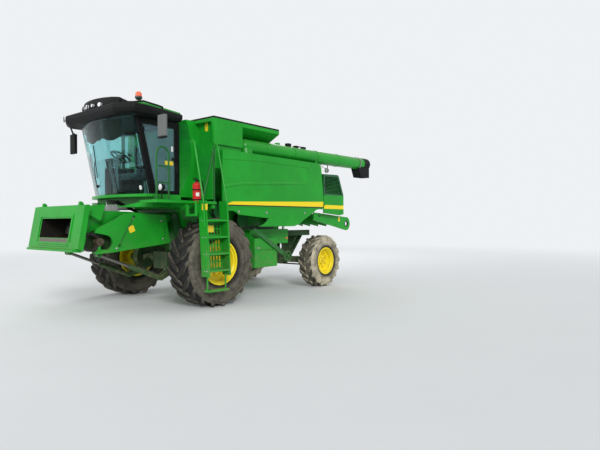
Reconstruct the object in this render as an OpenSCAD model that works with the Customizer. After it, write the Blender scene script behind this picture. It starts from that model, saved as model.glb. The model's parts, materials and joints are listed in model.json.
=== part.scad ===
// Self-propelled combine harvester, in millimetres. X points forward, Y to the left, Z up.
// Inside the modules x = 0 is the front axle and y = 0 the middle plane.
// placed() then moves the origin to the middle of the machine's footprint, on the ground.

/* [Wheels] */
// Distance between the two axles
wheelbase = 3610; // [3500:10:3720]
// Diameter of a front tyre over its lugs
front_tyre_d = 1670; // [1640:10:1700]
// Width of a front tyre
front_tyre_w = 650; // [620:10:660]
// Distance between the middles of the front tyres
front_track = 2740; // [2730:10:2760]
// Bead seat diameter of a front rim
front_rim_d = 812; // [780:4:840]
// Diameter of a rear tyre over its lugs
rear_tyre_d = 1260; // [1220:10:1280]
// Width of a rear tyre
rear_tyre_w = 450; // [430:10:460]
// Distance between the middles of the rear tyres
rear_track = 2560; // [2540:10:2600]
// Bead seat diameter of a rear rim
rear_rim_d = 610; // [580:4:630]
// Height of the lugs on the front tyres
front_lug_h = 46; // [36:2:52]
// Height of the lugs on the rear tyres
rear_lug_h = 36; // [28:2:42]
// Pairs of lugs round a front tyre
front_lugs = 19; // [16:1:22]
// Pairs of lugs round a rear tyre
rear_lugs = 17; // [14:1:19]
// Thickness of the rim plate
rim_t = 14; // [10:1:18]
// Diameter of the front wheel spindles
front_spindle_d = 160; // [140:5:180]
// Diameter of the rear wheel spindles
rear_spindle_d = 80; // [70:2:90]

/* [Steering] */
// Distance between the two kingpins
kingpin_track = 1960; // [1940:10:1980]
// Diameter of a kingpin
kingpin_d = 60; // [50:2:64]
// Length of a steering arm
steer_arm = 200; // [180:5:220]

/* [Body] */
// Half width of the threshing body
body_half_w = 780; // [760:5:800]
// Half width of the shoe and frame between the wheels
shoe_half_w = 640; // [600:5:645]
// Height of the body's roof under the grain tank
body_top = 2000; // [1980:5:2020]
// Height of the floor that the engine stands on
deck_z = 2300; // [2280:5:2330]
// Distance from the middle plane to the outside of the side panels
panel_half_w = 1500; // [1490:5:1510]
// Thickness of a side panel with its frame
panel_t = 40; // [30:2:46]
// Height of the top edge of the side panels
panel_top = 3005; // [2995:2:3010]
// Height of the lowest edge of the side panels
skirt_z = 1495; // [1450:5:1520]
// Front edge of the side panels
panel_front = -185; // [-200:5:-170]
// Rear edge of the side panels at the stripe
panel_rear = -3480; // [-3500:5:-3440]
// Wall of the rear hood
hood_t = 30; // [20:2:40]

/* [Grain tank] */
// Length of the tank behind the front wall
tank_len = 1900; // [1880:5:1910]
// Wall of the tank
tank_t = 40; // [30:2:50]
// Half width of the tank below the extension
tank_half_w = 1400; // [1380:5:1410]
// Half width of the tank extension
ext_half_w = 1450; // [1430:5:1460]
// Height of the lower edge of the extension
ext_z = 3095; // [3080:5:3110]
// Height of the tank's rim
tank_top = 3595; // [3560:5:3630]
// Thickness of a tank cover
cover_t = 34; // [26:2:40]
// How far the waist of the tank's nose reaches towards the cab
tank_nose = 80; // [60:5:100]
// Half width of that nose
nose_half_w = 880; // [840:10:900]

/* [Unloading auger] */
// Radius of the unloading tube
tube_r = 158; // [145:1:160]
// Distance from the middle plane to the stowed tube
tube_y = 1270; // [1262:2:1276]
// Height of the tube's axis at the elbow
tube_z = 3164; // [3160:2:3172]
// Place of the elbow along the machine
elbow_x = -1010; // [-1030:5:-1000]
// Length of the tube from the elbow to its end
tube_len = 4790; // [4600:10:4900]
// Wall of the tube and of its rubber spout
tube_t = 8; // [6:1:12]
// Angle by which the swing axis leans inwards
swing_lean = 10; // [9:0.5:11]
// Angle by which the stowed tube rises towards its end
tube_rise = 0.6; // [0.4:0.1:0.8]

/* [Cab] */
// Half width of the cab at the door
cab_half_w = 950; // [930:5:960]
// Rear face of the cab
cab_rear = 420; // [410:5:440]
// Foot of the front pillars
pillar_foot_x = 1055; // [1040:5:1080]
// Head of the front pillars
pillar_head_x = 1350; // [1330:5:1370]
// Height of the cab's sill
cab_sill = 2110; // [2100:5:2120]
// Height of the cab's upper frame
cab_head = 3470; // [3450:5:3480]
// Thickness of the pillars and of the door frame
pillar_t = 55; // [45:1:60]
// Thickness of the glass
glass_t = 10; // [8:1:12]
// How far the windscreen bulges forward of the pillars
screen_bulge = 230; // [180:10:260]
// Height of the roof's tray above the upper frame
roof_h = 175; // [165:5:185]
// Height of the raised visor above the tray
visor_rise = 205; // [190:5:220]

/* [Platform and ladder] */
// Height of the platform's deck
platform_z = 1985; // [1975:5:1990]
// Outer edge of the platform
platform_y = 1500; // [1480:5:1510]
// Front end of the platform
platform_front = 1320; // [1300:10:1340]
// Width of the ladder between its side plates
ladder_w = 520; // [480:10:540]
// Height of the lower end of the ladder's side plates
ladder_foot_z = 620; // [600:10:680]
// Depth of the ladder's side plates
ladder_depth = 205; // [185:5:215]
// Distance from the tyre's side to the ladder's foot
ladder_off = 75; // [65:5:90]
// Diameter of the hand rails
rail_d = 32; // [26:1:36]

/* [Feeder house] */
// Place of the feeder's hinge along the machine
hinge_x = 350; // [345:1:355]
// Height of the feeder's hinge
hinge_z = 1700; // [1690:2:1710]
// Half width of the feeder duct
duct_half_w = 580; // [560:2:584]
// Plate thickness of the feeder duct
duct_t = 30; // [20:1:36]
// Half width of the face that a header hangs on
face_half_w = 900; // [870:5:930]
// Foremost point of the face's lip
face_reach = 2450; // [2430:5:2470]
// Half width of the opening in the face
mouth_half_w = 525; // [500:5:535]
// Outer diameter of a lift cylinder's barrel
barrel_d = 90; // [80:1:96]
// Diameter of a lift cylinder's rod
lift_rod_d = 56; // [50:1:60]

/* [Straw chopper] */
// Half width of the spreader hood
spreader_half_w = 1350; // [1330:5:1360]
// Radius over the chopper's knives
rotor_r = 200; // [180:2:204]
// Pairs of guide vanes under the spreader hood
vane_pairs = 5; // [3:1:6]

/* [Hidden] */
$fn = 48;

// How far the rubber spout hangs below the tube's axis, and how far it passes the tube's end
spout_drop = 380;
spout_cap = 32;
// Gap between faces that lie on each other and belong to different bodies
seat_gap = 0.3;
// Clearance on the diameter of running fits
running_fit = 0.1;

green = "#1f8a2c";
dark_green = "#14571f";
yellow = "#f2c511";
rubber = "#26262a";
black = "#1b1c1e";
steel = "#8f9498";
glass = "#86b6bf80";

front_r = front_tyre_d / 2;
rear_r = rear_tyre_d / 2;
front_y = front_track / 2;
rear_y = rear_track / 2;
king_y = kingpin_track / 2;
reach_left = front_y + front_tyre_w / 2 + ladder_off + ladder_depth;
reach_right = -(front_y + front_tyre_w / 2);
reach_rear = elbow_x - spout_drop * sin(tube_rise) - (tube_len + spout_cap) * cos(tube_rise);
origin = [(face_reach + reach_rear) / 2, (reach_left + reach_right) / 2, 0];

// Extruded outlines: xz() gives [x, z] points, yz() [y, z] points and xy() [x, y] points
module xz(points, y0, y1) translate([0, y1, 0]) rotate([90, 0, 0]) linear_extrude(y1 - y0) polygon(points);
module yz(points, x0, x1) translate([x0, 0, 0]) rotate([90, 0, 90]) linear_extrude(x1 - x0) polygon(points);
module xy(points, z0, z1) translate([0, 0, z0]) linear_extrude(z1 - z0) polygon(points);
module box(a, b) translate(a) cube(b - a);
module both() {
    children();
    mirror([0, 1, 0]) children();
}
module rod(p, q, d) {
    v = q - p;
    translate(p) rotate([0, atan2(norm([v.x, v.y]), v.z), atan2(v.y, v.x)]) cylinder(d = d, h = norm(v));
}
// A bent tube through the points, with a ball that is a little thicker in each bend
bend_swell = 1.06;
module pipe(points, d) {
    for (i = [1 : 1 : len(points) - 1]) rod(points[i - 1], points[i], d);
    for (i = [1 : 1 : len(points) - 2]) translate(points[i]) sphere(d = d * bend_swell);
}
// A disc or a pin across the machine
module across(x, z, y0, y1, d) translate([x, y0, z]) rotate([-90, 0, 0]) cylinder(d = d, h = y1 - y0);
module placed() translate(-origin) children();
// Points of an arc round c, from angle a to angle b
function arc(c, r, a, b, n) = [for (i = [0 : n]) c + r * [cos(a + (b - a) * i / n), sin(a + (b - a)
    * i / n)]];
function reversed(list) = [for (i = [len(list) - 1 : -1 : 0]) list[i]];
function mirrored(list) = [for (p = reversed(list)) [p.x, -p.y]];

// A wheel's axis is the Y axis here, and its outer face looks to +Y
module turned(points) rotate([-90, 0, 0]) rotate_extrude() polygon(points);

flange_h = 26;
module tyre(r, half_w, bead_r, rim_half_w, lug_h, lugs) {
    casing_r = r - lug_h;
    bead_w = rim_half_w - rim_t - 2;
    // Radius and distance from the middle of the tread, from the bead to the crown
    side = [[bead_r + seat_gap, bead_w], [bead_r + flange_h + 8, bead_w],
        [bead_r + flange_h + 24, rim_half_w + 14], [(bead_r + casing_r) / 2 + 20, half_w],
        [casing_r - 60, half_w - 8], [casing_r - 8, half_w - 48], [casing_r, half_w * 0.3]];
    band = [[casing_r - 70, half_w - 14], [r - 22, half_w - 30], [r, half_w - 62]];
    pitch = 360 / lugs;
    reach = half_w * 0.62;
    turned(concat(side, mirrored(side)));
    intersection() {
        turned(concat(band, mirrored(band)));
        for (i = [0 : lugs - 1], side_way = [1, -1])
            rotate([0, (i + (side_way > 0 ? 0 : 0.5)) * pitch, 0])
                translate([0, 0, casing_r - 34]) linear_extrude(lug_h + 60)
                    polygon([[reach, -12 * side_way], [reach - 62, -12 * side_way],
                        [-reach * 0.7 - 30, side_way * half_w], [-reach * 0.7 + 38, side_way * half_w],
                        [reach * 0.55, side_way * half_w * 0.42]]);
    }
}
module rim(bead_r, half_w, disc_a, dish_r, hub_r, bore_d, hub_in, hub_out) {
    disc_t = 20;
    slope = 40;
    cap_t = 12;
    step = 22;
    inner_r = bead_r - rim_t;
    flange_r = bead_r + flange_h;
    turned([[bore_d / 2, hub_in], [hub_r, hub_in], [hub_r, disc_a - disc_t], [dish_r, disc_a - disc_t],
        [dish_r + 14, disc_a - disc_t + slope], [inner_r, disc_a + slope - disc_t], [inner_r, -half_w],
        [flange_r, -half_w], [flange_r, -half_w + rim_t], [bead_r, -half_w + rim_t],
        [bead_r, half_w - rim_t], [flange_r, half_w - rim_t], [flange_r, half_w], [bead_r - 4, half_w],
        [inner_r - 4, half_w - 36], [inner_r - step, half_w - 52], [inner_r - step, disc_a + slope + 30],
        [inner_r - 30, disc_a + slope + 4], [dish_r + 8, disc_a + slope], [dish_r - 8, disc_a],
            [hub_r + 34, disc_a],
        [hub_r + 18, disc_a + 14], [hub_r, disc_a + 14], [hub_r - 6, hub_out - 18], [hub_r - 20, hub_out],
        [0, hub_out], [0, hub_out - cap_t], [bore_d / 2, hub_out - cap_t]]);
}
front_hub_in = -120;
front_hub_out = 130;
rear_hub_in = -100;
rear_hub_out = 90;
front_rim_half_w = front_tyre_w / 2 - 67;
rear_rim_half_w = rear_tyre_w / 2 - 28;
module front_rim() color(yellow) rim(front_rim_d / 2, front_rim_half_w, 60, 270, 150,
    front_spindle_d + running_fit, front_hub_in, front_hub_out);
module front_tyre() color(rubber) tyre(front_r, front_tyre_w / 2, front_rim_d / 2, front_rim_half_w,
    front_lug_h, front_lugs);
module rear_rim() color(yellow) rim(rear_rim_d / 2, rear_rim_half_w, 30, 205, 95,
    rear_spindle_d + running_fit, rear_hub_in, rear_hub_out);
module rear_tyre() color(rubber) tyre(rear_r, rear_tyre_w / 2, rear_rim_d / 2, rear_rim_half_w,
    rear_lug_h, rear_lugs);
module at_front_left() translate([0, front_y, front_r]) children();
module at_rear_left() translate([-wheelbase, rear_y, rear_r]) children();
module on_right() mirror([0, 1, 0]) children();
module front_left_rim() at_front_left() front_rim();
module front_left_tyre() at_front_left() front_tyre();
module front_right_rim() on_right() front_left_rim();
module front_right_tyre() on_right() front_left_tyre();
module rear_left_rim() at_rear_left() rear_rim();
module rear_left_tyre() at_rear_left() rear_tyre();
module rear_right_rim() on_right() rear_left_rim();
module rear_right_tyre() on_right() rear_left_tyre();

// Final drives, cross tube and the lugs that the lift cylinders push against
lift_y = 522;
lift_foot = [570, 515];
lift_eye = [1840, 1035];
lift_pin_d = 40;
lug_gap = 36;
lug_t = 20;
module lift_lugs(root, c, a, b) {
    both() for (s = [-1, 1]) {
        y = lift_y + s * (lug_gap + lug_t / 2);
        difference() {
            xz(concat(root, arc(c, 46, a, b, 10)), y - lug_t / 2, y + lug_t / 2);
            across(c.x, c.y, y - lug_t, y + lug_t, lift_pin_d + running_fit);
        }
    }
}
drive_in = 760;
drive_out = 930;
module front_axle() color(dark_green) {
    across(0, front_r, -drive_in - 5, drive_in + 5, 210);
    box([-190, -230, front_r - 190], [190, 230, front_r + 160]);
    both() {
        xz(concat(arc([0, front_r], 235, -200, 20, 10), [[150, front_r + 290], [-230, front_r + 290]]),
            drive_in, drive_out);
        across(0, front_r, drive_out - 5, drive_out + 30, 320);
        across(0, front_r, drive_out, front_y + front_hub_out - 16, front_spindle_d);
    }
    lift_lugs([[-40, front_r - 90], [-60, front_r + 60], [60, front_r + 60]], lift_foot, 50, -130);
    both() across(lift_foot.x, lift_foot.y, lift_y - lug_gap - lug_t - 10, lift_y + lug_gap + lug_t + 10,
        lift_pin_d);
}

// Frame rails outside the shoe, with the plates that carry the feeder's hinge
rail_in = shoe_half_w + seat_gap;
rail_out = 705;
rail_z = 1000;
rail_h = 140;
rear_rail_z = 1250;
pivot_half = 77;
pivot_pin_d = 70;
hitch_x = -wheelbase - 720;
hitch_z = 600;
hitch_pin_d = 32;
hitch_gap = 34;
rail_end = -wheelbase - 340;
// Half thickness of a hanger plate, and the distance of its middle from the axle
hanger_half = 20;
hanger_x = pivot_half + 2 + hanger_half;
module chassis() color(dark_green) both() {
    xz([[260, rail_z], [260, rail_z + rail_h], [-wheelbase + 960, rail_z + rail_h],
        [-wheelbase + 710, rear_rail_z + rail_h], [rail_end, rear_rail_z + rail_h], [rail_end, rear_rail_z],
        [-wheelbase + 760, rear_rail_z], [-wheelbase + 1010, rail_z]], rail_in, rail_out);
    difference() {
        xz(concat([[0, rail_z], [240, rail_z]], arc([hinge_x, hinge_z], 75, -30, 150, 8)),
            rail_in + 15, rail_out);
        for (x = [90, 180]) across(x, rail_z + 270 + x, rail_in, rail_out + 5, 70);
    }
    across(hinge_x, hinge_z, duct_half_w + 3, rail_out, hinge_pin_d);
    // Saddles that bolt the final drives to the rails
    box([-150, rail_out - 1, front_r + 180], [150, drive_in - seat_gap, rail_z + rail_h - 20]);
}
// Cross member and the two plates, bolted between the rails, that the rear axle rocks in
module axle_hanger() color(dark_green) {
    half = rail_in - seat_gap;
    box([rail_end, -half, rear_rail_z], [rail_end + 90, half, rear_rail_z + 60]);
    for (s = [-1, 1]) {
        x = -wheelbase + s * hanger_x;
        difference() {
            yz([[-half, rear_rail_z + 60], [-half, rear_rail_z], [-200, rear_r - 40], [-120, rear_r - 120],
                [120, rear_r - 120], [200, rear_r - 40], [half, rear_rail_z], [half, rear_rail_z + 60]],
                x - hanger_half, x + hanger_half);
            translate([x - 30, 0, rear_r]) rotate([0, 90, 0]) cylinder(d = pivot_pin_d + running_fit,
                h = 60);
            translate([x - 30, 0, 960]) rotate([0, 90, 0]) cylinder(d = 260, h = 60);
        }
    }
}
// Tow hitch on the rear plate: a clevis with a vertical pin hole
module drawbar_hitch() color(dark_green) {
    x = -wheelbase - hanger_x - hanger_half - seat_gap;
    both() xz([[x, hitch_z - 50], [x, hitch_z + 50], [hitch_x + 100, hitch_z + 50], [hitch_x + 100,
        hitch_z - 50]],
        40, 70);
    difference() {
        for (s = [-1, 1]) {
            z = hitch_z + s * (hitch_gap + 10);
            translate([0, 0, z - 10]) linear_extrude(20) union() {
                translate([hitch_x, -60]) square([170, 120]);
                translate([hitch_x, 0]) circle(d = 120);
            }
        }
        translate([hitch_x, 0, hitch_z - 100]) cylinder(d = hitch_pin_d, h = 200);
    }
}
hinge_pin_d = 60;

// Steered axle: the beam rocks on a pin along X and carries a kingpin boss at each end
boss_h = 190;
boss_d = 150;
beam_h = 150;
module rear_axle() color(dark_green) translate([-wheelbase, 0, rear_r]) {
    difference() {
        union() {
            box([-72, -king_y, -beam_h / 2], [72, king_y, beam_h / 2]);
            both() translate([0, king_y, -boss_h / 2]) cylinder(d = boss_d, h = boss_h);
        }
        both() translate([0, king_y, -boss_h]) cylinder(d = kingpin_d + running_fit, h = 2 * boss_h);
    }
    rotate([0, 90, 0]) cylinder(d = pivot_pin_d, h = 2 * (pivot_half + 60), center = true);
}
fork_t = 30;
arm_z = -boss_h / 2 - seat_gap - fork_t;
module knuckle() {
    translate([-wheelbase, king_y, rear_r]) {
        translate([0, 0, arm_z - 4]) cylinder(d = kingpin_d, h = boss_h + 2 * fork_t + 8);
        for (z = [arm_z, boss_h / 2 + seat_gap]) translate([0, 0, z]) linear_extrude(fork_t) union() {
            circle(d = boss_d - 6);
            translate([-60, 0]) square([120, 130]);
        }
        box([-60, boss_d / 2 + 8, arm_z + 2], [60, 130, -arm_z - 2]);
        across(0, 0, boss_d / 2 + 12, rear_y - king_y + rear_hub_out - 14, rear_spindle_d);
        // Steering arm with the ball joint's seat
        translate([0, 0, arm_z]) linear_extrude(fork_t) union() {
            translate([-steer_arm, -32]) square([steer_arm, 64]);
            translate([-steer_arm, 0]) circle(d = 80);
        }
    }
}
module knuckle_left() color(dark_green) knuckle();
module knuckle_right() color(dark_green) on_right() knuckle();
module tie_rod() color(steel) {
    z = rear_r + arm_z - seat_gap - 40;
    x = -wheelbase - steer_arm;
    both() translate([x, king_y, z]) cylinder(d = 76, h = 40);
    across(x, z + 20, -king_y, king_y, 38);
}

// Threshing and separating body: its walls, the straw hood behind and the shoe's troughs below
shoe_z = 880;
body_front = 270;
body_end = -3560;
module separator_body() color(green) {
    xz([[body_front, body_top], [body_front, 1800], [175, 1500], [-2600, 1500], [-2800, 1500], [-3230,
        1560],
        [-3230, 1880], [body_end, 1880], [body_end, deck_z], [-tank_len - 50, deck_z], [-tank_len - 50,
            body_top]],
        -body_half_w, body_half_w);
    xz(concat([[176, 1501], [70, 1160], [-60, 1130], [-280, 1060]], [[-560, shoe_z + 90]],
        arc([-820, shoe_z + 110], 150, 190 + 130, 190 + 10, 6),
        arc([-1500, shoe_z + 110], 150, -20, -160, 6), [[-2400, shoe_z + 60], [-2560, 1120], [-2760, 1300],
        [-2800, 1501]]), -shoe_half_w, shoe_half_w);
    // Cross tube that the spreader hood hangs on, with its two brackets
    across(spreader_pin.x, spreader_pin.y, -spreader_half_w - 8, spreader_half_w + 8, spreader_pin_d);
    both() xz(concat([[-3440, 1881], [-3559, 1881]], arc(spreader_pin, 45, 190, 350, 8)), body_half_w - 60,
        body_half_w - 40);
}
engine_len = 1000;
module engine() color(steel) box([hood_front - 240 - engine_len, -430, deck_z], [hood_front - 240, 430,
    3000]);

// Engine hood, the trough that the stowed tube lies in, and what stands on the deck
hood_front = -tank_len - 10;
hood_rear = -3420;
hood_top = 3330;
trough_z = 2960;
module engine_deck() color(green) {
    difference() {
        box([hood_rear, -1400, deck_z], [hood_front, 1090, hood_top]);
        box([hood_rear + hood_t, -1400 + hood_t, deck_z - 5], [hood_front - hood_t, 1090 - hood_t,
            hood_top - hood_t]);
        across(screen_x, screen_z, -1410, -1300, 2 * screen_r + 30);
    }
    // Bar and pin that carry the rotary screen
    box([screen_x - screen_r - 60, -1362, screen_z - 35], [screen_x + screen_r + 60, -1350, screen_z + 35]);
    across(screen_x, screen_z, -1394, -1355, screen_pin_d);
    box([screen_x - screen_r - 60, -1375, screen_z - 35], [screen_x - screen_r - 20, -1350, screen_z + 35]);
    box([screen_x + screen_r + 20, -1375, screen_z - 35], [screen_x + screen_r + 60, -1350, screen_z + 35]);
    box([hood_rear, 1085, trough_z - 30], [hood_front, tank_half_w, trough_z]);
    box([hood_rear, tank_half_w - 30, 2400], [hood_front, tank_half_w, trough_z - 25]);
    // Saddle for the stowed tube
    difference() {
        box([-3360, 1130, trough_z - 5], [-3300, tank_half_w, 3120]);
        rod([-3200, tube_y, saddle_z], [-3500, tube_y, saddle_z], 2 * tube_r + 12);
    }
    // Exhaust and air cleaner
    translate([-2850, 560, hood_top - 5]) cylinder(d = 130, h = 215);
    translate([-2450, 200, hood_top - 5]) cylinder(d = 260, h = 120);
    translate([-3250, 560, hood_top - 5]) cylinder(d = 110, h = 165);
}
saddle_z = tube_z + (3330 + elbow_x) * sin(tube_rise);
screen_x = -2650;
screen_z = 3060;
screen_r = 250;
screen_pin_d = 30;
module rotary_screen() color(black) difference() {
    union() {
        across(screen_x, screen_z, -1400, -1388, 2 * screen_r);
        across(screen_x, screen_z, -1389, -1362 - seat_gap, 80);
    }
    across(screen_x, screen_z, -1398, -1350, screen_pin_d + running_fit);
}

// Grain tank: a hopper below and a wide extension above, all one shell that is open on top
neck_y = 1090;
flare_z = 3330;
lip_z = 3520;
floor_half_w = 450;
hopper_z = 2640;
tank_floor = body_top + 30;
nose_z = 2080;
elbow_bay = -770;
function hopper(t) = [[0, tank_floor + t], [floor_half_w - t / 4, tank_floor + t],
    [tank_half_w - t, hopper_z + t * 0.4]];
function front_side(t) = concat(hopper(t), [[tank_half_w - t, ext_z + t], [ext_half_w - t, ext_z + t],
    [ext_half_w - t, tank_top + (t > 0 ? 10 : 0)], [0, tank_top + (t > 0 ? 10 : 0)]]);
function rear_side(t) = concat(hopper(t), [[tank_half_w - t, trough_z - t], [neck_y - t, trough_z - t],
    [neck_y - t, flare_z + t / 4], [ext_half_w - t, lip_z + t / 4],
    [ext_half_w - t, tank_top + (t > 0 ? 10 : 0)], [0, tank_top + (t > 0 ? 10 : 0)]]);
function whole(half) = concat(half, [for (p = reversed(half)) [-p.x, p.y]]);
bay_depth = 90;
bay_frame = 60;
// The nose's front is hollowed by an arc, drawn in by t; inside, its floor slopes up to both sides
nose_r = 1450;
nose_waist_z = 3000;
module nose(t) {
    half = nose_half_w - t;
    low = nose_z + t;
    c = [tank_nose + nose_r, nose_waist_z];
    r = nose_r + t;
    rear = t > 0 ? -tank_t - bay_depth - 5 : -1;
    intersection() {
        xz(concat([[rear, low]], arc(c, r, 180 + asin((c.y - low) / r), 180 - asin((tank_top - t - c.y)
            / r), 12),
            [[rear, tank_top - t]]), -half, half);
        yz([[-floor_half_w, low], [floor_half_w, low], [half, t > 0 ? hopper_z - 300 : low], [half,
            tank_top - t],
            [-half, tank_top - t], [-half, t > 0 ? hopper_z - 300 : low]], rear - 1, tank_nose + 500);
    }
}
module grain_tank() color(green) difference() {
    union() {
        yz(whole(front_side(0)), elbow_bay, 0);
        yz(whole(rear_side(0)), -tank_len, elbow_bay + 1);
        box([-40, -tank_half_w, tank_floor], [0, tank_half_w, ext_z]);
        nose(0);
        for (x = [-1750, -60 - tank_t]) box([x, -600, body_top], [x + 60, 600, tank_floor + 5]);
    }
    yz(whole(front_side(tank_t)), elbow_bay + tank_t, -tank_t - bay_depth);
    both() yz(concat([[nose_half_w + 20, ext_z + 30], [nose_half_w + 20, tank_top - bay_frame]],
        arc([ext_half_w - bay_frame - 60, tank_top - bay_frame - 60], 60, 90, 0, 4),
            [[ext_half_w - bay_frame, ext_z + 30]]),
        -bay_depth, 1);
    yz(whole(rear_side(tank_t)), -tank_len + tank_t, elbow_bay + tank_t + 1);
    nose(tank_t);
}
module tank_augers() color(steel) {
    for (x = [-500, -1350]) {
        across(x, tank_floor + tank_t + 120, -430, 430, 60);
        xz([[x - 120, tank_floor + tank_t + 170], [x, tank_floor + tank_t + 260], [x + 120,
            tank_floor + tank_t + 170],
            [x + 120, tank_floor + tank_t + 164], [x, tank_floor + tank_t + 254],
            [x - 120, tank_floor + tank_t + 164]], -420, 420);
        for (y = [-430, 400]) box([x - 40, y, tank_floor + tank_t], [x + 40, y + 30,
            tank_floor + tank_t + 235]);
    }
}
module tank_cover() {
    z = tank_top + seat_gap;
    box([-tank_len + 5, 4, z], [-5, ext_half_w, z + cover_t]);
    for (x = [-1600, -1200, -800, -400]) box([x, 60, z + cover_t - 2], [x + 50, ext_half_w - 80,
        z + cover_t + 14]);
}
module tank_cover_left() color(black) tank_cover();
module tank_cover_right() color(black) on_right() tank_cover();

// The swing axis leans inwards and crosses the tube's axis in the elbow
module on_swing_axis() translate([elbow_x, tube_y, tube_z]) rotate([swing_lean, 0, 0]) children();
module along_tube() translate([elbow_x, tube_y, tube_z]) rotate([0, -90 + tube_rise, 0]) children();
stub_low = -172;
module auger_turret() color(dark_green) {
    intersection() {
        on_swing_axis() translate([0, 0, stub_low - seat_gap - 100]) cylinder(d = 280, h = 100);
        box([elbow_x - 200, tube_y - 250, trough_z], [elbow_x + 200, tube_y + 250, tube_z]);
    }
}
module unloading_auger() color(green) difference() {
    union() {
        along_tube() cylinder(r = tube_r, h = tube_len);
        translate([elbow_x, tube_y, tube_z]) sphere(r = tube_r * 1.01);
        on_swing_axis() translate([0, 0, stub_low]) cylinder(r = tube_r - 12, h = -stub_low);
        along_tube() for (z = [1500, 3300]) translate([0, 0, z]) cylinder(r = tube_r + 7, h = 30);
    }
    along_tube() cylinder(r = tube_r - tube_t, h = tube_len + 10);
    along_tube() translate([-tube_r - 40, -tube_r + 30, tube_len - 400]) cube([120, 2 * tube_r - 60, 300]);
}
module auger_spout() color(rubber) along_tube() {
    half = tube_r + seat_gap;
    difference() {
        union() {
            translate([0, 0, tube_len - 240]) cylinder(r = half + tube_t, h = 240 + spout_cap);
            rotate([90, 0, 0]) translate([0, 0, -half * 0.8]) linear_extrude(half * 1.6)
                polygon([[0, tube_len - 240], [-120, tube_len - 520], [-spout_drop, tube_len - 400],
                    [-spout_drop, tube_len + spout_cap], [0, tube_len + spout_cap]]);
        }
        translate([0, 0, tube_len - 700]) cylinder(r = half, h = 700 + seat_gap);
        rotate([90, 0, 0]) translate([0, 0, -half * 0.8 + tube_t]) linear_extrude(half * 1.6 - 2 * tube_t)
            polygon([[-tube_r * 0.7, tube_len - 200], [-130, tube_len - 490], [-spout_drop - 5,
                tube_len - 385],
                [-spout_drop - 5, tube_len + spout_cap - tube_t], [-tube_r * 0.7,
                    tube_len + spout_cap - tube_t]]);
    }
}

// Side panels, hinged along their top edges
press_depth = 9;
crease_z = 1905;
module side_panel() {
    inner = panel_half_w - panel_t;
    difference() {
        // Top front corner, wheel arch, skirt, rear arch and rear edge
        xz(concat([[panel_front, panel_top], [panel_front, 1835]], reversed(arc([-420, 1560], 260, 135,
            75, 5)),
            arc([-1130, skirt_z + 500], 500, -140, -95, 6), arc([-2280, skirt_z + 700], 700, -90, -125, 6),
            reversed(arc([-3330, 1540], 360, 90, 55, 4)), [[-3466, 1897], [-3488, 2140],
                [panel_rear + 60, 2730]],
            arc([-3260, panel_top - 150], 150, 160, 90, 5)), inner, panel_half_w);
        xz(concat([[panel_front + 10, 2290], [-370, 2348], [-1200, 2412]], arc([-2760, 2620], 150, -80,
            -180, 6),
            [[-2910, 2862], [-1200, 2866], [panel_front + 10, 2815]]), panel_half_w - press_depth,
                panel_half_w + 1);
        xz([[0, crease_z - 16], [-3600, crease_z + 16], [-3600, 1400], [0, 1400]],
            panel_half_w - press_depth,
            panel_half_w + 1);
    }
    for (x = [-420, -1800, -3100]) box([x - 60, tank_half_w + seat_gap, panel_top - 75],
        [x + 60, inner + 2, panel_top - 30]);
}
module left_side_panel() color(green) side_panel();
module right_side_panel() color(green) on_right() side_panel();

// Rear hood: two cheeks and a bent skin between them, open below
louvre_pitch = 34;
module rear_hood() color(green) {
    cheek = [[-3500, 2765], [-4100, 2785], [-4160, 2750], [-4370, 2270], [-4370, 1790], [-4200, 1760],
        [-3500, 1810], [-3510, 1960]];
    vent = [[-3550, 2290], [-3550, 2715], [-4080, 2732], [-4120, 2705], [-4305, 2290]];
    both() {
        difference() {
            xz(cheek, panel_half_w - hood_t, panel_half_w);
            xz(vent, panel_half_w - hood_t - 5, panel_half_w + 5);
        }
        intersection() {
            xz(cheek, panel_half_w - hood_t, panel_half_w);
            for (z = [2302 : louvre_pitch : 2720])
                yz([[panel_half_w - 24, z], [panel_half_w - 8, z + 4], [panel_half_w - 8, z + 12],
                    [panel_half_w - 24, z + 8]],
                    -4380, -3500);
        }
    }
    xz([[-3440, 2765], [-4100, 2785], [-4160, 2750], [-4370, 2270], [-4370, 2060], [-4370 + hood_t, 2060],
        [-4370 + hood_t, 2264], [-4140, 2728], [-4094, 2755], [-3440, 2735]],
        -panel_half_w + 1, panel_half_w - 1);
    both() box([-3540, body_half_w, deck_z - 60], [-3500, panel_half_w - hood_t + 1, deck_z]);
}

// Chopper: side plates that carry the rotor, and the concave shell round its front
rotor_x = -3860;
rotor_z = 2060;
rotor_pin_d = 50;
module chopper_housing() color(dark_green) {
    both() difference() {
        xz([[-4060, deck_z], [-4120, 2060], [-4020, 1850], [-3700, 1850],
            [body_end - seat_gap, 1900], [body_end - seat_gap, deck_z]], body_half_w - 30, body_half_w - 2);
        across(rotor_x, rotor_z, body_half_w - 60, body_half_w + 10, rotor_pin_d + running_fit);
    }
    xz(concat(arc([rotor_x, rotor_z], rotor_r + 55, 80, -20, 8), arc([rotor_x, rotor_z], rotor_r + 35,
        -20, 80, 8)),
        -body_half_w + 20, body_half_w - 20);
}
module chopper_rotor() color(steel) {
    across(rotor_x, rotor_z, -body_half_w - 40, body_half_w + 90, rotor_pin_d);
    across(rotor_x, rotor_z, -body_half_w + 40, body_half_w - 40, 140);
    across(rotor_x, rotor_z, body_half_w + 20, body_half_w + 70, 220);
    for (i = [0 : 15], k = [0 : 1]) translate([rotor_x, -body_half_w + 70 + i * (2 * body_half_w - 150)
        / 15, rotor_z])
        rotate([0, i * 45 + k * 180, 0]) box([-25, 0, 60], [25, 8, rotor_r]);
}

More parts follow.
